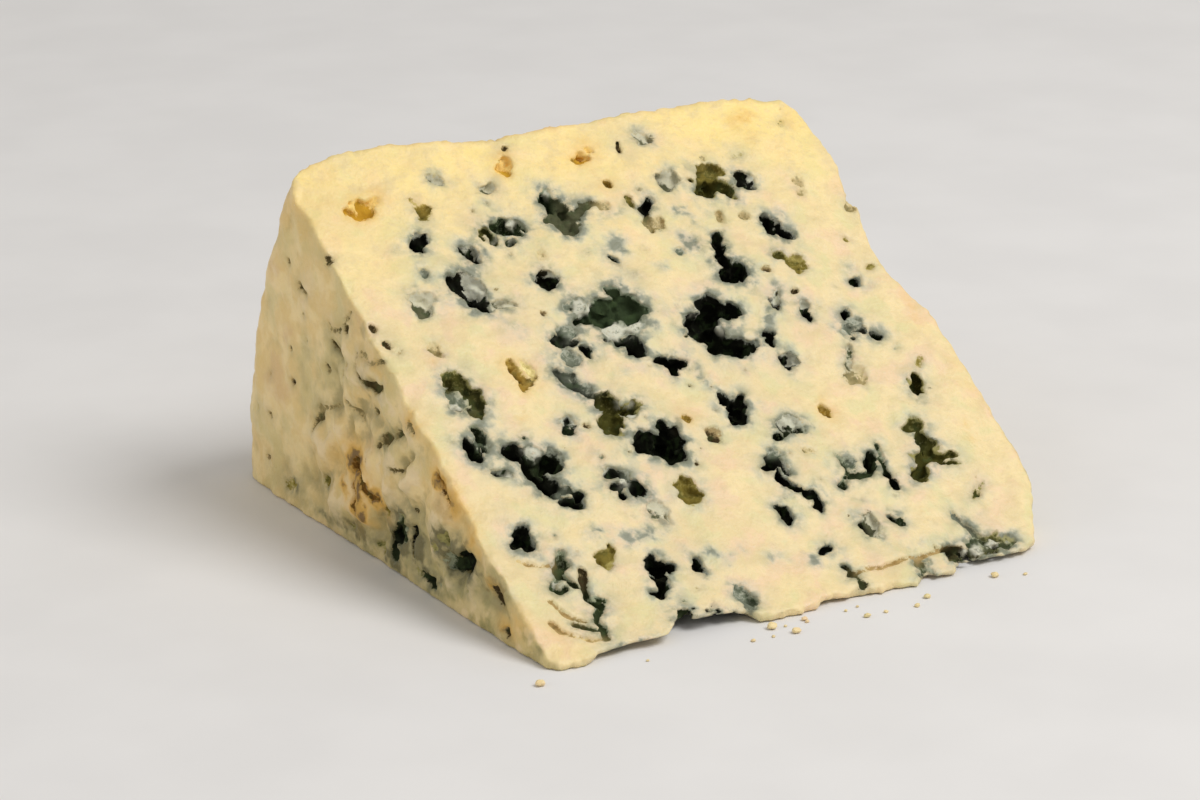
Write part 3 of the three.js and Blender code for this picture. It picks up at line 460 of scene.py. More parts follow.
table_rng = np.random.default_rng(SEED)
SHUFFLED = table_rng.permutation(TABLE_SIZE).astype(np.uint8)
GRADIENTS = table_rng.normal(size=(3, TABLE_SIZE)).astype(np.float32)
GRADIENTS /= np.linalg.norm(GRADIENTS, axis=0)
JITTER = table_rng.random((3, TABLE_SIZE)).astype(np.float32)


def in_chunks(work, points, size, channel):
    """Works on long rows of X, Y and Z, measured in `size`, a stretch at a time."""
    result = np.empty(points.shape[1], np.float32)
    for start in range(0, len(result), CHUNK):
        part = slice(start, start + CHUNK)
        place = points[:, part] / np.float32(size) + np.float32(CHANNEL_STEP * channel)
        cell = np.floor(place)
        result[part] = work(place - cell, cell.astype(np.int32).astype(np.uint8))
    return result


def noise_chunk(part, cell):
    """Blends the slopes at the eight corners of each point's cell."""
    fade = part * part * part * (part * (part * 6 - 15) + 10)
    share = (1 - fade, fade)
    total = np.zeros(part.shape[1], np.float32)
    for i in (0, 1):
        row = SHUFFLED[cell[0] + np.uint8(i)]
        for j in (0, 1):
            column = SHUFFLED[row + cell[1] + np.uint8(j)]
            weight = share[i][0] * share[j][1]
            for k in (0, 1):
                gradient = GRADIENTS[:, SHUFFLED[column + cell[2] + np.uint8(k)]]
                slope = (part[0] - i) * gradient[0]
                slope += (part[1] - j) * gradient[1]
                slope += (part[2] - k) * gradient[2]
                total += weight * share[k][2] * slope
    return total * NOISE_GAIN


def curds_chunk(part, cell):
    """Finds the nearest grain's middle, of those in each point's cell and the cells round it."""
    nearest = np.full(part.shape[1], 1.0, np.float32)
    for i, j, k in product((-1, 0, 1), repeat=3):
        row = SHUFFLED[cell[0] + np.uint8(i % TABLE_SIZE)]
        column = SHUFFLED[row + cell[1] + np.uint8(j % TABLE_SIZE)]
        middle = JITTER[:, SHUFFLED[column + cell[2] + np.uint8(k % TABLE_SIZE)]]
        away = (middle[0] + i - part[0]) ** 2
        away += (middle[1] + j - part[1]) ** 2
        away += (middle[2] + k - part[2]) ** 2
        np.minimum(nearest, away, out=nearest)
    return 1 - nearest


def noise(points, size, channel=0):
    """Smooth noise of about -1 to 1, whose bumps are `size` across, at rows of X, Y and Z."""
    return in_chunks(noise_chunk, points, size, channel)


def curds(points, size, channel=0):
    """How near a point is to the middle of a curd grain: 1 there, falling to 0 between grains."""
    return in_chunks(curds_chunk, points, size, channel)


def noise_layers(points, layers, channel=0):
    return sum(height * noise(points, size, channel + i) for i, (size, height) in enumerate(layers))


# ---- Points to work the field out at ---------------------------------------------------------


class Lattice:
    """Points in rows, columns and layers, `cell` apart."""

    def __init__(self, low, high, cell):
        self.low = np.array(low, float)
        self.cell = cell
        self.shape = tuple(int(n) for n in np.ceil((np.array(high) - self.low) / cell))
        ticks = [self.low[i] + cell * np.arange(self.shape[i]) for i in range(3)]
        grids = np.meshgrid(*[t.astype(np.float32) for t in ticks], indexing="ij", sparse=True)
        self.x, self.y, self.z = (np.broadcast_to(g, self.shape) for g in grids)

    def near(self, middle, reach):
        """The part of the lattice in a box round `middle`, as slices."""
        start = np.floor((np.array(middle) - reach - self.low) / self.cell).astype(int)
        stop = np.ceil((np.array(middle) + reach - self.low) / self.cell).astype(int)
        return tuple(slice(max(a, 0), max(b, 0)) for a, b in zip(start, stop))


class Scattered:
    """Points in no order, such as a mesh's vertices."""

    def __init__(self, points):
        self.x, self.y, self.z = (np.ascontiguousarray(axis, np.float32) for axis in points.T)
        self.shape = self.x.shape

    def near(self, middle, reach):
        """The numbers of the points in a box round `middle`."""
        x, y, z = middle
        inside = np.abs(self.x - x) < reach
        inside &= np.abs(self.y - y) < reach
        inside &= np.abs(self.z - z) < reach
        return (np.flatnonzero(inside),)


def points_at(samples, where):
    return np.stack([samples.x[where], samples.y[where], samples.z[where]])


# ---- The wedge's faces -----------------------------------------------------------------------

# A face's own frame: its origin, and the directions across it and up it.
Face = namedtuple("Face", "origin across up")
COS, SIN = math.cos(WEDGE_ANGLE), math.sin(WEDGE_ANGLE)
CUT_FACE = Face((0, 0, 0), (1, 0, 0), (0, COS, SIN))
LEFT_FACE = Face((LEFT_X, 0, 0), (0, 1, 0), (0, 0, 1))
RIGHT_FACE = Face((RIGHT_X + RIGHT_FACE_BULGE, 0, 0), (0, 1, 0), (0, 0, 1))
UNDERSIDE = Face((0, 0, 0), (1, 0, 0), (0, 1, 0))


def along(curve, place):
    """The height at `place` of a curve that is given by its points."""
    places, heights = zip(*curve)
    return np.interp(place, places, heights).astype(np.float32)


def smooth_step(value, start, end):
    share = np.clip((value - start) / (end - start), 0, 1)
    return share * share * (3 - 2 * share)


def smooth_max(a, b, rounding):
    """The larger of two distances, with the edge between them rounded."""
    overlap = np.maximum(rounding - np.abs(a - b), 0)
    return np.maximum(a, b) + overlap * overlap / (4 * rounding)


def rounded_corner(a, b, radius):
    """The distance to the corner between two faces at right angles, rounded to a radius."""
    outside = np.hypot(np.maximum(a + radius, 0), np.maximum(b + radius, 0))
    return np.minimum(np.maximum(a, b) + radius, 0) + outside - radius


def roughen(distance, samples, layers, name, share=1.0):
    """Moves a face in and out by noise, or a share of it, where the point is near the face."""
    rough = np.array(np.broadcast_to(distance, samples.shape), np.float32)
    near = np.abs(rough) < RELIEF_REACH
    share = np.broadcast_to(share, samples.shape)[near]
    rough[near] += share * noise_layers(points_at(samples, near), layers, CHANNELS[name])
    return rough


def flakiness(radius):
    """How flaky the flat faces are at a distance from the wheel's axis: 1 near it, less outside."""
    return 1 - (1 - LEAST_FLAKY) * smooth_step(radius, *FLAKY_RADII)


def face_distances(samples):
    """Each face's rough distance from the points, above 0 outside the cheese."""
    x, y, z = samples.x, samples.y, samples.z
    radius = np.hypot(y, z)
    up_face = y * COS + z * SIN
    lip = TIP_THICKNESS * np.exp(-np.maximum(up_face, 0) / TIP_LIP_LENGTH)
    cut_plane = z * COS - y * SIN
    edge = np.maximum(np.maximum(cut_plane, radius - WHEEL_RADIUS), -z)
    inner = smooth_step(-edge, *LUMPS_FROM_EDGE) * flakiness(radius)
    left_edge = smooth_step(LEFT_X - x, -LEFT_EDGE_BAND, 0)
    top_edge = smooth_step(cut_plane, -TOP_EDGE_BAND, 0)
    cut = roughen(cut_plane - lip, samples, CUT_RELIEF, "cut")
    cut = roughen(cut, samples, LEFT_EDGE_CRUMBS, "left_edge", left_edge)
    left = roughen(LEFT_X - x, samples, LEFT_FACE_RELIEF, "left")
    left = roughen(left, samples, LUMPS, "left_lumps", inner)
    swollen = x - RIGHT_X - along(RIGHT_FACE_SWELL, radius)
    right = roughen(swollen, samples, RIGHT_FACE_RELIEF, "right")
    right = roughen(right, samples, LUMPS, "right_lumps", inner)
    rind = roughen(radius - WHEEL_RADIUS - along(RIND_SWELL, x), samples, RIND_RELIEF, "rind")
    rind = roughen(rind, samples, TOP_EDGE_CRUMBS, "top_edge", top_edge)
    tip = roughen(along(TIP_FRONT, x) - y, samples, TIP_RELIEF, "tip")
    raised = along(TIP_LIFT, x) * np.clip(1 - y / TIP_LIFT_DEPTH, 0, 1) ** 2
    underside = roughen(raised - z, samples, UNDERSIDE_RELIEF, "underside")
    underside = np.maximum(underside, -z)
    return {"cut": cut, "left": left, "right": right, "rind": rind, "tip": tip,
            "underside": underside}


def body_distance(faces):
    """The rough wedge's distance, without its pockets."""
    body = rounded_corner(faces["left"], faces["rind"], LEFT_RIM_ROUNDING)
    body = smooth_max(body, faces["right"], RIGHT_RIM_ROUNDING)
    body = smooth_max(body, faces["cut"], EDGE_ROUNDING)
    body = smooth_max(body, faces["tip"], TIP_ROUNDING)
    return smooth_max(body, faces["underside"], UNDERSIDE_ROUNDING)


# ---- Pockets, as distances -------------------------------------------------------------------

WARP = [(2.6, 0.65), (1.1, 0.5), (0.6, 0.26)]  # how a pocket's wall wanders: (size, height)
CURD_SIZE = 1.9
CURD_HEIGHT = 1.2
CURD_MIDDLE = 0.78  # of the grains that bulge into a pocket as much as the gaps between widen it
FULL_RAGGEDNESS_HALF = 1.6  # a lobe smaller than this wanders less
WANDER_REACH = 2.6  # how far outside its plain shape a ragged lobe can reach
DEEPEST_POCKET = 7.0
OUTERMOST_WALL = 1.0  # how far outside the plain body the walls' wandering is worked out
FAR = 50.0
LEAST_SLOPE = 1e-6  # so that nothing is divided by 0

# How a pocket's wall wanders at each point: three offsets, and the curd grain there.
Crumble = namedtuple("Crumble", "along_u along_v along_out grain")


def crumble_at(samples, body):
    near = (body > -DEEPEST_POCKET) & (body < OUTERMOST_WALL)
    points = points_at(samples, near)
    crumble = Crumble(*(np.zeros(samples.shape, np.float32) for _ in Crumble._fields))
    for offset, channel in zip(crumble, WARP_CHANNELS):
        offset[near] = noise_layers(points, WARP, channel)
    crumble.grain[near] = curds(points, CURD_SIZE) - CURD_MIDDLE
    return crumble


def to_space(face, across, up):
    """The point in space that lies at a place on a face."""
    origin, across_axis, up_axis = (np.array(part, float) for part in face)
    return origin + across * across_axis + up * up_axis


def on_face(face, samples, where):
    """Where points lie across and up a face."""
    away = [getattr(samples, name)[where] - start for name, start in zip("xyz", face.origin)]
    return [sum(np.float32(step) * part for step, part in zip(axis, away) if step)
            for axis in (face.across, face.up)]


def turned(across, up, degrees):
    angle = math.radians(degrees)
    cos, sin = np.float32(math.cos(angle)), np.float32(math.sin(angle))
    return across * cos + up * sin, up * cos - across * sin


def lobe_distance(lobe, face, samples, where, depth_below, crumble):
    """The distance to a pocket's ragged lobe, below 0 inside it."""
    across, up, half_width, half_height, turn, depth = lobe
    raggedness = min(1, (half_width + half_height) / 2 / FULL_RAGGEDNESS_HALF)
    u, v = on_face(face, samples, where)
    u = u + raggedness * crumble.along_u[where] - across
    v = v + raggedness * crumble.along_v[where] - up
    a, b = turned(u, v, turn)
    below = np.maximum(depth_below + raggedness * crumble.along_out[where], 0)
    ratio = np.sqrt((a / half_width) ** 2 + (b / half_height) ** 2 + (below / depth) ** 2)
    slope = np.sqrt((a / half_width**2) ** 2 + (b / half_height**2) ** 2 + (below / depth**2) ** 2)
    distance = ratio * (ratio - 1) / np.maximum(slope, LEAST_SLOPE)
    return distance + raggedness * CURD_HEIGHT * crumble.grain[where]


def near_lobe(lobe, face, samples, extra):
    """The samples that are no further from a lobe than `extra`."""
    across, up, half_width, half_height, _, depth = lobe
    return samples.near(to_space(face, across, up), max(half_width, half_height, depth) + extra)


def carve_pockets(samples, hollow, face, face_distance, crumble, pockets):
    """Lowers `hollow` to the nearest pocket's distance, round each lobe."""
    for lobes in pockets.values():
        for lobe in lobes:
            where = near_lobe(lobe, face, samples, WANDER_REACH)
            distance = lobe_distance(lobe, face, samples, where, -face_distance[where], crumble)
            hollow[where] = np.minimum(hollow[where], distance)


def chip_distance(chip, face, samples, where, depth_below, crumble):
    """The distance to a chip of paste that stands in a pocket, below 0 inside it."""
    across, up, half_width, half_height, turn = chip
    u, v = on_face(face, samples, where)
    a, b = turned(u + crumble.along_u[where] - across, v + crumble.along_v[where] - up, turn)
    spread = 1 + CHIP_SPREAD * np.maximum(depth_below, 0)
    above = np.minimum(depth_below - CHIP_TOP - CHIP_CROWN, 0) / CHIP_CROWN
    ratio = np.sqrt((a / half_width) ** 2 + (b / half_height) ** 2 + above**2)
    return (ratio - spread) * min(half_width, half_height)


def leave_chips(samples, cheese, body, face, face_distance, crumble, chips):
    """Adds the chips to the cheese, each as far as it lies inside the plain body."""
    for chip in chips:
        where = samples.near(to_space(face, *chip[:2]), CHIP_REACH)
        distance = chip_distance(chip, face, samples, where, -face_distance[where], crumble)
        cheese[where] = np.minimum(cheese[where], np.maximum(distance, body[where]))


# ---- Pockets drawn by a rule: the veins' small lobes, and what is scattered on every face ------

STROKE_JITTER = 0.25  # as a share of the half width
# A lobe's half length and half width as shares of the stroke's, and its depth: (least, most).
STROKE_LENGTHS = (1.2, 2.0)
STROKE_WIDTHS = (0.7, 1.2)
STROKE_DEPTHS = (0.7, 1.1)


def stroke_lobes(strokes, rng):
    """Lays small lobes along each stroke, each a little longer than the step to the next."""
    pockets = {kind: [] for kind, *_ in strokes}
    for kind, half, depth, places in strokes:
        for start, end in zip(places, places[1:]):
            run = np.subtract(end, start)
            turn = math.degrees(math.atan2(run[1], run[0]))
            steps = math.ceil(np.hypot(*run) / half)
            for step in range(steps):
                u, v = start + run * (step + 0.5) / steps + rng.normal(0, STROKE_JITTER * half, 2)
                long = half * rng.uniform(*STROKE_LENGTHS)
                wide = half * rng.uniform(*STROKE_WIDTHS)
                deep = depth * rng.uniform(*STROKE_DEPTHS)
                pockets[kind].append((u, v, long, wide, turn, deep))
    return pockets


# How a face's pockets are drawn: what grows in them, how many are tried, their half widths, the
# region's lowest and highest (across, up), depth for each half width, and a test of the place.
Scatter = namedtuple("Scatter", "kinds tries halves region depth fits")
SCATTER_GAP = 1.6
CUT_GAP = 2.0  # left between a flat face's pocket and the face's edges
RIND_GAP = 3.0  # and this besides at the rind
THICKNESS_HALVES = 3  # the least thickness over a pocket of the underside, in its half widths
VEIN_GAP = (0.3, 3.2)  # between a speck and the dark pocket that it lies beside
SCATTER_LOBES = 3  # at the most
ONE_LOBE_HALF = 1.0  # a pocket whose half width is no more than this has one lobe
SCATTER_SHIFT = 1.4  # of a lobe from the pocket's middle, in half widths
# A lobe's half width and half height, as shares of the pocket's, and its turn: (least, most).
SCATTER_SHAPES = ((0.6, 0.5, -90), (1.1, 0.9, 90))


def under_the_cut(across, up, half):
    """Whether a pocket of a flat face is clear of the slanted cut and the rind."""
    margin = 2 * half + CUT_GAP
    clear_of_cut = up + margin < math.tan(WEDGE_ANGLE) * across
    return clear_of_cut and math.hypot(across, up) + margin < WHEEL_RADIUS - RIND_GAP


def thick_enough(_, up, half):
    """Whether the wedge is much thicker than an underside's pocket is deep."""
    return THICKNESS_HALVES * half < math.tan(WEDGE_ANGLE) * up


def beside_a_vein(across, up, half):
    """Whether a place is just outside one of the cut face's dark pockets."""
    dark = CUT_FACE_POCKETS["black"] + CUT_FACE_POCKETS["green"]
    gap = min(math.hypot(across - lobe[0], up - lobe[1]) - max(lobe[2], lobe[3]) for lobe in dark)
    least, most = VEIN_GAP
    return half + least < gap < most


def anywhere(*_):
    return True


def rind_face(degrees):
    """The frame of the rind's tangent at an angle round the wheel's axis."""
    cos, sin = math.cos(math.radians(degrees)), math.sin(math.radians(degrees))
    middle = (0, WHEEL_RADIUS * cos, WHEEL_RADIUS * sin)
    return Face(middle, (1, 0, 0), (0, -sin, cos))


LEFT_SCATTER = Scatter(("slit", "brown"), 60, (0.35, 0.7), ((14, 2), (90, 48)), 1.2, under_the_cut)
RIGHT_SCATTER = Scatter(("slit", "brown", "grey", "slit", "green", "black"), 160, (0.5, 2.0),
                        ((10, 3), (88, 48)), 1.2, under_the_cut)
UNDERSIDE_SCATTER = Scatter(("black", "forest", "olive", "green", "grey", "amber"), 240, (0.7, 2.4),
                            ((-42, 8), (42, 88)), 1.5, thick_enough)
RIND_SCATTER = Scatter(("slit", "grey", "brown"), 40, (0.4, 1.3), ((-38, -8), (38, 8)), 0.9, anywhere)
CUT_SCATTER = Scatter(("brown", "green"), 150, (0.25, 0.45), ((-42, 5), (42, 88)), 1.6, beside_a_vein)
RIND_ANGLES = (6, 17, 28)


def mostly_small(sizes, rng):
    """Draws a size between two, nearer to the smaller one more often."""
    smallest, largest = sizes
    return smallest + (largest - smallest) * rng.random() ** 2


def scattered_pockets(scatter, rng):
    """Draws pockets of one to three lobes by a rule, clear of each other."""
    pockets = {kind: [] for kind in scatter.kinds}
    placed = []
    for _ in range(scatter.tries):
        place = rng.uniform(*scatter.region)
        half = mostly_small(scatter.halves, rng)
        kind = scatter.kinds[rng.integers(len(scatter.kinds))]
        shifts = rng.uniform(-SCATTER_SHIFT, SCATTER_SHIFT, (SCATTER_LOBES, 2)) * half
        shifts[0] = 0
        shapes = rng.uniform(*SCATTER_SHAPES, (SCATTER_LOBES, 3))
        lobes = rng.integers(1, SCATTER_LOBES + 1) if half > ONE_LOBE_HALF else 1
        crowded = any(math.dist(place, other) < 2 * (half + size) + SCATTER_GAP for other, size in placed)
        if crowded or not scatter.fits(*place, half):
            continue
        placed.append((place, half))
        for (u, v), (wide, high, turn) in list(zip(place + shifts, shapes))[:lobes]:
            pockets[kind].append((u, v, half * wide, half * high, turn, half * scatter.depth))
    return pockets


def all_pockets():
    """Every pocket: (name of the face's distance, the face's frame, its lobes by what grows there)."""
    rng = np.random.default_rng(SEED)
    pockets = [
        ("cut", CUT_FACE, CUT_FACE_POCKETS),
        ("left", LEFT_FACE, LEFT_FACE_POCKETS),
        ("cut", CUT_FACE, stroke_lobes(CUT_FACE_STROKES, rng)),
        ("left", LEFT_FACE, stroke_lobes(LEFT_FACE_STROKES, rng)),
        ("cut", CUT_FACE, scattered_pockets(CUT_SCATTER, rng)),
        ("left", LEFT_FACE, scattered_pockets(LEFT_SCATTER, rng)),
        ("right", RIGHT_FACE, scattered_pockets(RIGHT_SCATTER, rng)),
        ("underside", UNDERSIDE, UNDERSIDE_POCKETS),
        ("underside", UNDERSIDE, scattered_pockets(UNDERSIDE_SCATTER, rng)),
    ]
    for degrees in RIND_ANGLES:
        pockets.append(("rind", rind_face(degrees), scattered_pockets(RIND_SCATTER, rng)))
    return pockets


def cheese_distance(samples):
    """The finished cheese's distance, and what it was worked out from."""
    faces = face_distances(samples)
    body = body_distance(faces)
    crumble = crumble_at(samples, body)
    hollow = np.full(samples.shape, FAR, np.float32)
    for name, face, pockets in all_pockets():
        carve_pockets(samples, hollow, face, faces[name], crumble, pockets)
    cheese = smooth_max(body, -hollow, POCKET_RIM_ROUNDING)
    leave_chips(samples, cheese, body, CUT_FACE, faces["cut"], crumble, CUT_FACE_CHIPS)
    return cheese, faces, body, crumble


# ---- From the field to a mesh ----------------------------------------------------------------


def surface_points(field, lattice):
    """One point for each lattice cell that the surface passes through, and the cells' numbers."""
    inside = field < 0
    n = np.array(field.shape) - 1
    corners = sum(
        inside[i : i + n[0], j : j + n[1], k : k + n[2]].astype(np.int8)
        for i, j, k in product((0, 1), repeat=3)
    )
    cells = np.argwhere((corners > 0) & (corners < 8))
    total = np.zeros((len(cells), 3))
    crossings = np.zeros(len(cells))
    for axis in range(3):
        step = np.eye(3, dtype=int)[axis]
        for corner in product((0, 1), repeat=3):
            if corner[axis]:
                continue
            a = field[tuple((cells + corner).T)]
            b = field[tuple((cells + corner + step).T)]
            crossed = (a < 0) != (b < 0)
            share = a[crossed] / (a[crossed] - b[crossed])
            total[crossed] += np.array(corner) + share[:, None] * step
            crossings[crossed] += 1
    numbers = np.full(corners.shape, -1)
    numbers[tuple(cells.T)] = np.arange(len(cells))
    return lattice.low + lattice.cell * (cells + total / crossings[:, None]), numbers


def surface_quads(field, numbers):
    """A face round each lattice edge that the surface crosses, facing out."""
    inside = field < 0
    quads = []
    for axis in range(3):
        ahead = np.moveaxis(inside, axis, 0)
        cells = np.moveaxis(numbers, axis, 0)
        leaves = ahead[:-1, 1:-1, 1:-1] & ~ahead[1:, 1:-1, 1:-1]
        enters = ~ahead[:-1, 1:-1, 1:-1] & ahead[1:, 1:-1, 1:-1]
        for crossed, order in ((leaves, (0, 1, 2, 3)), (enters, (3, 2, 1, 0))):
            i, j, k = np.nonzero(crossed)
            ring = [cells[i, j, k], cells[i, j + 1, k], cells[i, j + 1, k + 1], cells[i, j, k + 1]]
            if axis == 1:
                ring.reverse()
            quads.append(np.stack([ring[n] for n in order], axis=1))
    return np.concatenate(quads)


def largest_piece(quads, count):
    """The quads of the largest connected piece."""
    label = np.arange(count)
    while True:
        lowest = label.copy()
        np.minimum.at(lowest, quads.ravel(), np.repeat(label[quads].min(axis=1), 4))
        lowest = lowest[lowest]
        if np.array_equal(lowest, label):
            break
        label = lowest
    piece = label[quads[:, 0]]
    return quads[piece == np.bincount(piece).argmax()]


def mesh_from(points, quads, name):
    used, quads = np.unique(quads, return_inverse=True)
    mesh = bpy.data.meshes.new(name)
    mesh.from_pydata(points[used].tolist(), [], quads.reshape(-1, 4).tolist())
    mesh.update()
    return mesh


def add_object(name, data):
    added = bpy.data.objects.new(name, data)
    bpy.context.scene.collection.objects.link(added)
    return added


def thinned(mesh, triangles):
    """A copy of a mesh with its flatter stretches merged, down to a number of triangles."""
    temporary = add_object("temporary", mesh)
    decimate = temporary.modifiers.new("decimate", "DECIMATE")
    decimate.ratio = min(1, triangles / (2 * len(mesh.polygons)))
    evaluated = temporary.evaluated_get(bpy.context.evaluated_depsgraph_get())
    result = bpy.data.meshes.new_from_object(evaluated)
    bpy.data.objects.remove(temporary)
    return result


def positions_of(mesh):
    flat = np.zeros(3 * len(mesh.vertices), np.float32)
    mesh.vertices.foreach_get("co", flat)
    return flat.reshape(-1, 3)


# ---- Where the colours go --------------------------------------------------------------------


def linear(rgb):
    """An sRGB colour from 0 to 255 as linear light."""
    share = np.array(rgb, float) / 255
    return np.where(share <= 0.04045, share / 12.92, ((share + 0.055) / 1.055) ** 2.4)


MOULD_REACH = 0.45  # how far outside its lobe a mould's colour still counts
MOULD_EDGE = (2.6, 0.55)  # how the upper edge of the deep colour, dark mould and partly painted shade, wanders: (size, height)
DEEP_REACH = 1.0  # how far outside its lobe the deep colour ends
LEFT_SIDE_BLUR = 0.3  # of the border between the painted shade on a lobe's lower left and its upper right
LEFT_SIDE_RANGE = (-0.5, 0.9)
RIM_WIDTH = 0.45  # of the line of painted shade round a pocket's mouth
LEAST_RIM = 0.35  # how dark that line is at the upper right, as a share
HALO_WIDTH = 1.3  # how far a pocket's own stain and the faint haze beyond it reach
HALO_STRENGTH = 0.4  # of the smallest lobe's stain, and more for each millimetre of its size
HALO_GROWTH = 0.4
HAZE_WIDTH = 3.2
HAZE_REACH = 6.0
HAZE_STRENGTH = 0.1  # of a lobe of 1 mm squared
HAZE_MOST = 0.5  # however many lobes are near
STAIN_REACH = 2.5  # how far from its middle a stain is worked out, in half widths
STAIN_WANDER = 1.3  # how much more than a pocket's wall a stain's edge wanders
STAIN_DEPTH = 1.3  # how far under its face a stain still shows
CHIP_EDGE = (0.05, 0.4)  # how far outside a chip its pale colour ends
CHIP_FADE = (0.6, 2.2)  # and how far down
SKIN_DEPTH = 2.0  # how far under a dried face its pockets' walls are dry too
SKIN_EDGE = (-0.7, 0.2)  # where the dry colour begins and is full, from the slanted cut's edge
RIND_OVERLAP = 0.5  # how much further in over that edge the rind's dry colour comes
NEAR_RIND = (60, 95)  # the radii between which the paste turns yellower
LOW_HEIGHTS = (28, 8)  # the heights between which the dried faces turn darker
LOW_SLOPE = 0.25  # how much lower those are for each millimetre from the axis
LEAST_WEIGHT = 1e-6
PAINTED = ("deepness", "halo", "haze", "rim", "amber", "chip")


def raise_to(values, where, new):
    values[where] = np.maximum(values[where], new)


def bell(distance, width):
    """1 where the distance is 0, and almost 0 at twice the width."""
    return np.exp(-((distance / width) ** 2))


def lower_left_side(lobe, face, samples, where):
    """1 on the lower left side of a lobe, where the painted shade goes, and 0 opposite."""
    u, v = on_face(face, samples, where)
    aside, above = u - lobe[0], v - lobe[1]
    towards = -(aside + above) / (np.hypot(aside, above) + LEFT_SIDE_BLUR)
    return smooth_step(towards, *LEFT_SIDE_RANGE)


def paint_mould(paint, where, mould, below, distance, lower_left):
    """Adds a lobe's pale and deep colour, how much of the deep one shows, with painted shade on the lower
    left side, and the rim's painted shade.
    """
    weight = np.exp(-np.maximum(distance, 0) / MOULD_REACH)
    paint["pale"][where] += weight[:, None] * linear(mould.pale)
    paint["deep"][where] += weight[:, None] * linear(mould.deep)
    paint["weight"][where] += weight
    # The deep colour shows with depth, as dark mould and partly painted shade, and by the mould's side
    # share only on the lower left side, as painted shade.
    fade = smooth_step(below + paint["edge"][where], *mould.fade) * (distance < DEEP_REACH)
    raise_to(paint["deepness"], where, fade * (1 - mould.side * (1 - lower_left)))
    # A line of painted shade round the mouth, darkest on the lower left side.
    rim = mould.rim * (LEAST_RIM + (1 - LEAST_RIM) * lower_left)
    raise_to(paint["rim"], where, rim * bell(distance, RIM_WIDTH))


def paint_halo(paint, where, mould, below, distance, size):
    """Adds the stain round a lobe and the faint haze beyond it."""
    outside = np.maximum(distance, 0)
    on_top = mould.strength * bell(below, STAIN_DEPTH)
    stain = min(1, HALO_STRENGTH + HALO_GROWTH * size) * bell(outside, HALO_WIDTH)
    raise_to(paint[mould.stain], where, on_top * stain)
    if mould.stain == "halo":
        haze = HAZE_STRENGTH * size**2 * bell(outside, HAZE_WIDTH)
        paint["haze"][where] += on_top * haze


def paint_lobe(samples, paint, face, face_distance, crumble, mould, lobe):
    where = near_lobe(lobe, face, samples, HAZE_REACH)
    if not where[0].size:
        return
    below = -face_distance[where]
    distance = lobe_distance(lobe, face, samples, where, below, crumble)
    lower_left = lower_left_side(lobe, face, samples, where)
    paint_mould(paint, where, mould, below, distance, lower_left)
    paint_halo(paint, where, mould, below, distance, math.sqrt(lobe[2] * lobe[3]))


def paint_pockets(samples, paint, face, face_distance, crumble, pockets):
    """Adds each lobe's mould and the stain round it to what the vertices are painted with."""
    for kind, lobes in pockets.items():
        for lobe in lobes:
            paint_lobe(samples, paint, face, face_distance, crumble, MOULDS[kind], lobe)


def paint_stains(samples, values, face, face_distance, crumble, stains):
    for across, up, half_width, half_height, turn, strength in stains:
        reach = STAIN_REACH * max(half_width, half_height)
        where = samples.near(to_space(face, across, up), reach)
        if not where[0].size:
            continue
        u, v = on_face(face, samples, where)
        u = u + STAIN_WANDER * crumble.along_u[where]
        v = v + STAIN_WANDER * crumble.along_v[where]
        a, b = turned(u - across, v - up, turn)
        away = (a / half_width) ** 2 + (b / half_height) ** 2 + (face_distance[where] / STAIN_DEPTH) ** 2
        raise_to(values, where, strength * np.exp(-away))


def paint_chips(samples, chip_paint, face, face_distance, crumble, chips):
    for chip in chips:
        where = samples.near(to_space(face, *chip[:2]), CHIP_REACH)
        below = -face_distance[where]
        distance = chip_distance(chip, face, samples, where, below, crumble)
        share = (1 - smooth_step(distance, *CHIP_EDGE)) * (1 - smooth_step(below, *CHIP_FADE))
        raise_to(chip_paint, where, share)


def hollowness(samples, faces):
    """How far a flat face's relief sinks in at each point, in millimetres."""
    radius = np.hypot(samples.y, samples.z)
    left = faces["left"] - (LEFT_X - samples.x)
    right = faces["right"] - (samples.x - RIGHT_X - along(RIGHT_FACE_SWELL, radius))
    return np.where(samples.x < 0, left, right)


def blank_paint(samples):
    """What the points are painted with before any mould or stain is added."""
    count = len(samples.x)
    paint = {name: np.zeros(count) for name in PAINTED}
    paint["weight"] = np.full(count, LEAST_WEIGHT)
    paint["pale"] = np.full((count, 3), LEAST_WEIGHT)
    paint["deep"] = np.full((count, 3), LEAST_WEIGHT)
    every_point = points_at(samples, slice(None))
    paint["edge"] = noise_layers(every_point, [MOULD_EDGE], CHANNELS["mould_edge"])
    return paint


def painted(samples, faces, crumble):
    """The moulds, the stains and the chips at each point."""
    paint = blank_paint(samples)
    for name, face, pockets in all_pockets():
        paint_pockets(samples, paint, face, faces[name], crumble, pockets)
    paint["haze"] = HAZE_MOST * (1 - np.exp(-paint["haze"] / HAZE_MOST))
    paint_stains(samples, paint["halo"], CUT_FACE, faces["cut"], crumble, CUT_FACE_STAINS)
    paint_stains(samples, paint["halo"], LEFT_FACE, faces["left"], crumble, LEFT_FACE_STAINS)
    paint_stains(samples, paint["amber"], CUT_FACE, faces["cut"], crumble, CUT_FACE_AMBER)
    paint_stains(samples, paint["amber"], LEFT_FACE, faces["left"], crumble, LEFT_FACE_AMBER)
    paint_chips(samples, paint["chip"], CUT_FACE, faces["cut"], crumble, CUT_FACE_CHIPS)
    return paint


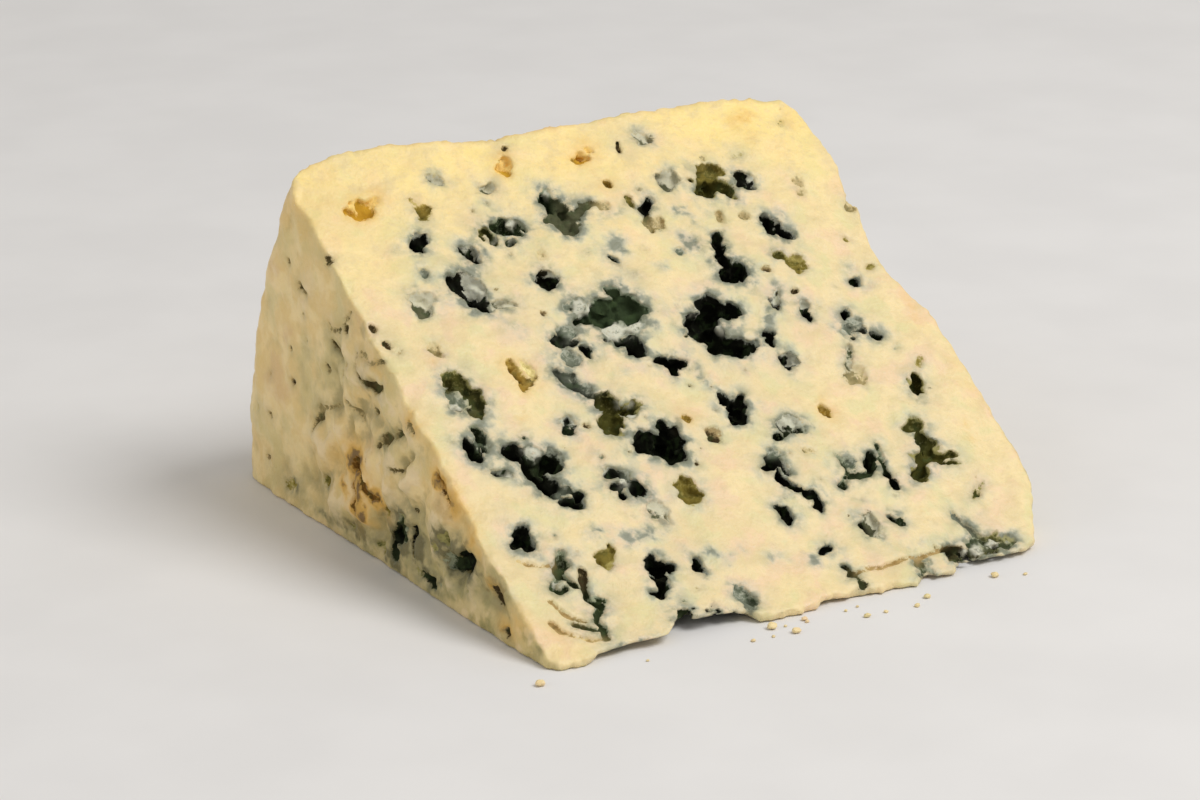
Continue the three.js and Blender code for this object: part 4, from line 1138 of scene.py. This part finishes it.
def paint_vertices(mesh, points):
    """Stores on each vertex what the cheese's material needs to know about its place."""
    samples = Scattered(points)
    _, faces, body, crumble = cheese_distance(samples)
    paint = painted(samples, faces, crumble)
    for name in ("pale", "deep"):
        add_colour(mesh, "mould_" + name, paint[name] / paint["weight"][:, None])
    for name in PAINTED:
        add_number(mesh, name, paint[name])
    add_number(mesh, "below_skin", -body)
    # how far the relief sinks in, which the material turns into painted shade and painted highlight
    add_number(mesh, "hollow", hollowness(samples, faces))
    flat_faces = np.maximum(faces["left"], faces["right"])
    skin = np.maximum(flat_faces, faces["rind"] + RIND_OVERLAP)
    from_cut = skin - np.maximum(faces["cut"], -SKIN_DEPTH)
    add_number(mesh, "skin", smooth_step(from_cut, *SKIN_EDGE))
    radius = np.hypot(samples.y, samples.z)
    add_number(mesh, "near_rind", smooth_step(radius, *NEAR_RIND))
    add_number(mesh, "flaky", flakiness(radius))
    add_number(mesh, "low", smooth_step(samples.z + LOW_SLOPE * samples.y, *LOW_HEIGHTS))


def add_number(mesh, name, values):
    attribute = mesh.attributes.new(name, "FLOAT", "POINT")
    attribute.data.foreach_set("value", np.ascontiguousarray(values, np.float32))


def add_colour(mesh, name, values):
    attribute = mesh.attributes.new(name, "FLOAT_COLOR", "POINT")
    opaque = np.ones((len(values), 4), np.float32)
    opaque[:, :3] = values
    attribute.data.foreach_set("color", opaque.ravel())


# ---- Materials -------------------------------------------------------------------------------

# The materials' noises: (size of the bumps in millimetres, detail, roughness, offset).
MATERIAL_NOISES = {
    "broad": (14, 2, 0.5, 1.3),
    "patch": (4, 3, 0.5, 2.1),
    "speck": (1.1, 4, 0.6, 3.7),
    "fur": (0.55, 4, 0.65, 5.2),
    "tuft": (1.8, 3, 0.5, 6.4),
    "blush": (5.5, 3, 0.5, 9.1),
    "blotch": (9, 4, 0.5, 7.7),
    "dapple": (2.6, 4, 0.5, 10.6),
    "mottle": (1.9, 3, 0.5, 8.3),
    "streak": (1.3, 4, 0.5, 4.4),
    "floor": (30, 3, 0.5, 0),
}


class Shader:
    """Builds a material's nodes, one call for each."""

    def __init__(self, name):
        self.material = bpy.data.materials.new(name)
        self.material.use_nodes = True
        self.tree = self.material.node_tree
        self.surface = self.tree.nodes["Principled BSDF"]
        self.place = self.tree.nodes.new("ShaderNodeTexCoord").outputs["Object"]

    def link(self, value, socket):
        if isinstance(value, bpy.types.NodeSocket):
            self.tree.links.new(value, socket)
        elif isinstance(value, tuple):
            socket.default_value = (*linear(value), 1.0)
        else:
            socket.default_value = value

    def attribute(self, name, output="Fac"):
        node = self.tree.nodes.new("ShaderNodeAttribute")
        node.attribute_name = name
        return node.outputs[output]

    def noise(self, name):
        """One of MATERIAL_NOISES, from about 0 to 1."""
        size_mm, detail, roughness, offset = MATERIAL_NOISES[name]
        mapping = self.tree.nodes.new("ShaderNodeMapping")
        mapping.inputs["Location"].default_value = (offset, offset, offset)
        self.tree.links.new(self.place, mapping.inputs["Vector"])
        node = self.tree.nodes.new("ShaderNodeTexNoise")
        self.tree.links.new(mapping.outputs["Vector"], node.inputs["Vector"])
        node.inputs["Scale"].default_value = 1 / (size_mm * MM)
        node.inputs["Detail"].default_value = detail
        node.inputs["Roughness"].default_value = roughness
        return node.outputs["Fac"]

    def range(self, value, start, end, low=0.0, high=1.0):
        """Carries start..end over to low..high, smoothly at both ends."""
        node = self.tree.nodes.new("ShaderNodeMapRange")
        node.interpolation_type = "SMOOTHSTEP"
        self.link(value, node.inputs["Value"])
        for name, number in (("From Min", start), ("From Max", end), ("To Min", low), ("To Max", high)):
            node.inputs[name].default_value = number
        return node.outputs["Result"]

    def math(self, operation, a, b=0.0):
        node = self.tree.nodes.new("ShaderNodeMath")
        node.operation = operation
        self.link(a, node.inputs[0])
        self.link(b, node.inputs[1])
        return node.outputs["Value"]

    def mix(self, share, a, b):
        """Colour a, turning into colour b where the share is 1."""
        node = self.tree.nodes.new("ShaderNodeMix")
        node.data_type = "RGBA"
        self.link(share, node.inputs[0])
        self.link(a, node.inputs[6])
        self.link(b, node.inputs[7])
        return node.outputs[2]

    def bump(self, height, distance_mm, strength, normal=None):
        node = self.tree.nodes.new("ShaderNodeBump")
        node.inputs["Distance"].default_value = distance_mm * MM
        node.inputs["Strength"].default_value = strength
        self.link(height, node.inputs["Height"])
        if normal:
            self.link(normal, node.inputs["Normal"])
        return node.outputs["Normal"]


PASTE = (239, 216, 161)
PASTE_ROSY = (238, 205, 163)
PASTE_DAMP = (222, 200, 148)
PASTE_GREEN = (224, 213, 154)
PASTE_YELLOW = (251, 223, 141)
AMBER = (230, 184, 92)
AMBER_DEEP = (204, 160, 68)
AMBER_BROWN = (122, 92, 36)
STAIN_GREY = (176, 182, 166)
STAIN_OLIVE = (186, 184, 150)
STAIN_LILAC = (208, 200, 180)
STAIN_SLATE = (122, 127, 108)
SKIN_STAIN = (164, 154, 106)
STAIN_DARK_OLIVE = (106, 98, 54)
# Mould specks, and the painted shade round the pockets' mouths.
MOULD_SPECK_AND_RIM_SHADE = (94, 97, 74)
MOULD_GREEN = (62, 80, 46)
CHIP = (208, 206, 186)
SKIN_TAN = (232, 202, 136)
SKIN_PALE = (242, 216, 156)
SKIN_ROSY = (220, 184, 128)
SKIN_KHAKI = (212, 195, 134)
SKIN_LOW = (162, 151, 94)
# Painted shade for the relief's hollows, and a painted highlight for its lumps.
SKIN_HOLLOW_SHADE = (150, 136, 84)
SKIN_LUMP_HIGHLIGHT = (240, 216, 170)


def paste_colour(shader, broad, patch, speck):
    blush = shader.noise("blush")
    paste = shader.mix(shader.range(broad, 0.55, 0.35, 0.0, 0.4), PASTE, PASTE_DAMP)
    paste = shader.mix(shader.range(blush, 0.52, 0.64, 0.0, 0.8), paste, PASTE_ROSY)
    paste = shader.mix(shader.range(blush, 0.48, 0.36, 0.0, 0.75), paste, PASTE_GREEN)
    share = shader.math("MULTIPLY", shader.attribute("near_rind"), shader.range(broad, 0.3, 0.7, 0.4, 1.0))
    paste = shader.mix(share, paste, PASTE_YELLOW)
    paste = shader.mix(shader.range(patch, 0.5, 0.7, 0.0, 0.6), paste, PASTE_DAMP)
    return shader.mix(shader.range(speck, 0.45, 0.75, 0.0, 0.5), paste, PASTE_DAMP)


def skin_colour(shader, patch):
    """The colour of the faces that have dried, the wheel's flat faces and its rind, with painted shade in
    their relief's hollows and a painted highlight on its lumps.
    """
    blotch = shader.noise("blotch")
    skin = shader.mix(shader.range(patch, 0.42, 0.6), SKIN_TAN, SKIN_PALE)
    skin = shader.mix(shader.range(blotch, 0.48, 0.66, 0.0, 0.7), skin, SKIN_KHAKI)
    skin = shader.mix(shader.range(blotch, 0.44, 0.3, 0.0, 0.7), skin, SKIN_ROSY)
    low = shader.math("MULTIPLY", shader.attribute("low"), shader.range(patch, 0.4, 0.58, 1.0, 0.35))
    skin = shader.mix(low, skin, SKIN_LOW)
    # Painted shade where the relief sinks in and a painted highlight where it stands out, mottled by
    # noise.
    dapple = shader.range(shader.noise("dapple"), 0.3, 0.7, -0.55, 0.55)
    dapple = shader.math("MULTIPLY", dapple, shader.attribute("flaky"))
    hollow = shader.math("ADD", shader.attribute("hollow"), dapple)
    skin = shader.mix(shader.range(hollow, 0.05, 1.2, 0.0, 0.75), skin, SKIN_HOLLOW_SHADE)
    return shader.mix(shader.range(hollow, -0.1, -0.95, 0.0, 0.8), skin, SKIN_LUMP_HIGHLIGHT)


def amber_colour(shader, surface, patch):
    """Adds the golden stains, which are brown where they are strongest."""
    amber = shader.math("MULTIPLY", shader.attribute("amber"), shader.range(patch, 0.3, 0.65, 0.5, 1.1))
    surface = shader.mix(shader.math("MINIMUM", amber, 1.0), surface, AMBER)
    streak = shader.range(shader.noise("streak"), 0.35, 0.65, -0.5, 0.5)
    brown = shader.range(shader.math("ADD", amber, streak), 0.9, 1.9)
    deep = shader.mix(brown, AMBER_DEEP, AMBER_BROWN)
    return shader.mix(shader.range(amber, 0.5, 1.2), surface, deep)


def stained_colour(shader, surface, patch, speck, fur):
    """Adds the stains and the haze round the pockets, their specks, and the painted shade round the
    pockets' mouths.
    """
    mottle = shader.noise("mottle")
    stained = shader.math("ADD", shader.attribute("halo"), shader.attribute("haze"))
    stained = shader.math("MULTIPLY", stained, shader.range(mottle, 0.34, 0.64, 0.62, 1.2))
    pale = shader.mix(shader.range(patch, 0.4, 0.6), STAIN_GREY, STAIN_OLIVE)
    pale = shader.mix(shader.range(mottle, 0.56, 0.42, 0.0, 0.7), pale, STAIN_LILAC)
    pale = shader.mix(shader.attribute("skin"), pale, SKIN_STAIN)
    dark = shader.mix(shader.attribute("skin"), STAIN_SLATE, STAIN_DARK_OLIVE)
    stain = shader.mix(shader.range(stained, 0.5, 1.5), pale, dark)
    share = shader.math("MINIMUM", shader.math("MULTIPLY", stained, 0.8), 0.95)
    surface = shader.mix(share, surface, stain)
    dense = shader.range(stained, 0.35, 1.2, 0.0, 0.3)
    specks = shader.math("MULTIPLY", shader.range(fur, 0.54, 0.68), dense)
    surface = shader.mix(specks, surface, MOULD_SPECK_AND_RIM_SHADE)
    # Painted shade round the pockets' mouths, in the specks' colour.
    rim = shader.math("MULTIPLY", shader.attribute("rim"), shader.range(speck, 0.35, 0.6, 0.2, 0.9))
    return shader.mix(rim, surface, MOULD_SPECK_AND_RIM_SHADE)


def mould_colour(shader, ragged):
    """The colour inside the pockets: pale near the mouth, dark deep down as mould and partly painted
    shade, kept to the lower left side as painted shade, and furry in tufts.
    """
    tufts = shader.range(shader.noise("tuft"), 0.5, 0.66, 0.0, 0.4)
    dark = shader.mix(tufts, shader.attribute("mould_deep", "Color"), MOULD_GREEN)
    deepness = shader.math("ADD", shader.attribute("deepness"), ragged)
    return shader.mix(shader.range(deepness, 0.2, 0.8), shader.attribute("mould_pale", "Color"), dark)


# Of the paste and of the mould.
ROUGHNESS = (0.46, 0.9)
SPECULAR = (0.5, 0.12)
# The bumps of the surface: (depth in millimetres, strength).
SPECK_BUMP = (0.4, 0.5)
FUR_BUMP = (0.25, 0.4)
SUBSURFACE = {"Weight": 0.15, "Radius": (1.0, 0.85, 0.6), "Scale": 1.0 * MM}


def cheese_material():
    shader = Shader("blue_cheese")
    inputs = shader.surface.inputs
    broad, patch, speck, fur = (shader.noise(name) for name in ("broad", "patch", "speck", "fur"))

    paste = paste_colour(shader, broad, patch, speck)
    surface = shader.mix(shader.attribute("skin"), paste, skin_colour(shader, patch))
    surface = stained_colour(shader, surface, patch, speck, fur)
    surface = amber_colour(shader, surface, patch)
    ragged = shader.range(fur, 0.25, 0.75, -0.3, 0.3)
    below = shader.math("ADD", shader.attribute("below_skin"), shader.math("MULTIPLY", ragged, 0.8))
    mouldy = shader.range(below, 0.15, 0.45)
    surface = shader.mix(mouldy, surface, mould_colour(shader, ragged))
    surface = shader.mix(shader.math("MULTIPLY", shader.attribute("chip"), mouldy), surface, CHIP)
    shader.link(surface, inputs["Base Color"])

    shader.link(shader.range(mouldy, 0, 1, *ROUGHNESS), inputs["Roughness"])
    shader.link(shader.range(mouldy, 0, 1, *SPECULAR), inputs["Specular IOR Level"])
    normal = shader.bump(speck, *SPECK_BUMP)
    shader.link(shader.bump(fur, *FUR_BUMP, normal), inputs["Normal"])
    for name, value in SUBSURFACE.items():
        inputs["Subsurface " + name].default_value = value
    return shader.material


FLOOR_SHADES = ((222, 220, 218), (226, 224, 222))
FLOOR_ROUGHNESS = 0.7


def floor_material():
    shader = Shader("pale_floor")
    shade = shader.mix(shader.range(shader.noise("floor"), 0.3, 0.7), *FLOOR_SHADES)
    shader.link(shade, shader.surface.inputs["Base Color"])
    shader.surface.inputs["Roughness"].default_value = FLOOR_ROUGHNESS
    return shader.material


# ---- Pieces ----------------------------------------------------------------------------------


def make_piece(mesh, origin, name, material):
    """Turns a mesh's millimetres into metres from the origin and makes it a piece of the scene."""
    mesh.transform(Matrix.Translation(origin) @ Matrix.Scale(MM, 4))
    mesh.shade_smooth()
    mesh.materials.append(material)
    return add_object(name, mesh)


def cheese_lattice():
    cell = FINE_CELL
    left, front = LEFT_X - MARGIN - FRONT_AND_LEFT_ROOM, -FRONT_AND_LEFT_ROOM - MARGIN
    right = RIGHT_X + RIGHT_ROOM + MARGIN
    back = WHEEL_RADIUS + RIND_ROOM + MARGIN
    top = WHEEL_RADIUS * SIN + TOP_ROOM + MARGIN
    return Lattice((left, front, -MARGIN), (right, back, top), cell)


def cheese_mesh(name):
    lattice = cheese_lattice()
    field = cheese_distance(lattice)[0]
    points, numbers = surface_points(field, lattice)
    quads = largest_piece(surface_quads(field, numbers), len(points))
    mesh = thinned(mesh_from(points, quads, name), TRIANGLES)
    points = positions_of(mesh)
    points[:, 2] = np.maximum(points[:, 2], 0)  # thinning leaves some of them under the table
    mesh.vertices.foreach_set("co", points.ravel())
    paint_vertices(mesh, points)
    return mesh


def make_cheese(origin, name):
    return make_piece(cheese_mesh(name), origin, name, cheese_material())


CRUMB_SEED = 23
CRUMB_COUNT = 18
CRUMB_HALVES = (0.2, 0.65)
CRUMB_STRIP = ((-50, -7), (34, -1.8))  # the strip of table in front of the tip that they lie on
CRUMB_FLATNESS = (1.2, 1.0, 0.7)
CRUMB_RELIEF = [(0.8, 0.3), (0.35, 0.15)]  # as shares of a crumb's size
CRUMB_NOISE_STEP = 10  # from one crumb's place in the noise to the next one's
CRUMB_SUBDIVISIONS = 3


def round_ball():
    ball = bmesh.new()
    bmesh.ops.create_icosphere(ball, subdivisions=CRUMB_SUBDIVISIONS, radius=1)
    directions = np.array([vertex.co for vertex in ball.verts], np.float32)
    triangles = np.array([[vertex.index for vertex in face.verts] for face in ball.faces])
    ball.free()
    return directions, triangles


def make_crumbs(origin, name, material):
    """Crumbs of paste that have fallen in front of the tip, as one mesh."""
    directions, triangles = round_ball()
    rng = np.random.default_rng(CRUMB_SEED)
    points, faces = [], []
    for number in range(CRUMB_COUNT):
        half = mostly_small(CRUMB_HALVES, rng)
        lumps = 1 + noise_layers(directions.T + CRUMB_NOISE_STEP * number, CRUMB_RELIEF)
        crumb = half * directions * CRUMB_FLATNESS * lumps[:, None]
        crumb[:, 2] -= crumb[:, 2].min()
        crumb[:, :2] += rng.uniform(*CRUMB_STRIP)
        points.append(crumb)
        faces.append(triangles + number * len(directions))
    mesh = bpy.data.meshes.new(name)
    mesh.from_pydata(np.concatenate(points).tolist(), [], np.concatenate(faces).tolist())
    return make_piece(mesh, origin, name, material)


# ---- The studio ------------------------------------------------------------------------------

CAMERA_PLACE = Vector((-298.17, -413.88, 209.59)) * MM  # from the middle of the tip edge
CAMERA_YAW = 0.56174
CAMERA_PITCH = 0.33598
CAMERA_ROLL = 0.00347
CAMERA_LENS = 114
SENSOR_WIDTH = 36
CLIP_START = 0.01

FLOOR_HALF = 2.5
LIGHTS_AIM = Vector((0, 0, 0.025))
# The area lights: (place, size, power).
LIGHTS = {"key": ((0.45, -0.55, 1.0), 0.7, 9.4), "fill": ((-1.2, 0.1, 0.3), 0.8, 2.0)}
WORLD_COLOUR = (1, 0.98, 0.95, 1)
WORLD_STRENGTH = 0.5


def make_camera(origin):
    camera = add_object("camera", bpy.data.cameras.new("camera"))
    camera.data.lens = CAMERA_LENS
    camera.data.sensor_width = SENSOR_WIDTH
    camera.data.clip_start = CLIP_START
    turn = Matrix.Rotation(-CAMERA_YAW, 4, "Z") @ Matrix.Rotation(math.pi / 2 - CAMERA_PITCH, 4, "X")
    roll = Matrix.Rotation(CAMERA_ROLL, 4, "Z")
    camera.matrix_world = Matrix.Translation(origin + CAMERA_PLACE) @ turn @ roll
    bpy.context.scene.camera = camera


def make_area_light(name, place, size, power):
    data = bpy.data.lights.new(name, "AREA")
    data.shape = "DISK"
    data.size = size
    data.energy = power
    light = add_object(name, data)
    light.location = place
    light.rotation_euler = (LIGHTS_AIM - Vector(place)).to_track_quat("-Z", "Y").to_euler()


def make_floor(height):
    mesh = bpy.data.meshes.new("floor")
    corners = [(-1, -1), (1, -1), (1, 1), (-1, 1)]
    mesh.from_pydata([(FLOOR_HALF * x, FLOOR_HALF * y, 0) for x, y in corners], [], [(0, 1, 2, 3)])
    mesh.materials.append(floor_material())
    floor = add_object("floor", mesh)
    floor.location.z = height


def make_world():
    world = bpy.data.worlds.new("soft_light")
    world.use_nodes = True
    background = world.node_tree.nodes["Background"]
    background.inputs["Color"].default_value = WORLD_COLOUR
    background.inputs["Strength"].default_value = WORLD_STRENGTH
    bpy.context.scene.world = world


def make_studio(floor_height):
    make_floor(floor_height)
    for name, (place, size, power) in LIGHTS.items():
        make_area_light(name, place, size, power)
    make_world()
    bpy.context.scene.view_settings.view_transform = "Standard"


# ---- The scene -------------------------------------------------------------------------------


def main():
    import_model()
    low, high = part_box("cheese_wedge")
    origin = Vector((low.x + CAD_LEFT_REACH * MM, high.y - CAD_RIND_REACH * MM, low.z))

    cheese = make_cheese(origin, "blue_cheese")
    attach(cheese, "root")
    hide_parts("cheese_wedge")

    crumbs = make_crumbs(origin, "crumbs", cheese.data.materials[0])
    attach(crumbs, "root")

    make_camera(origin)
    make_studio(low.z)


main()
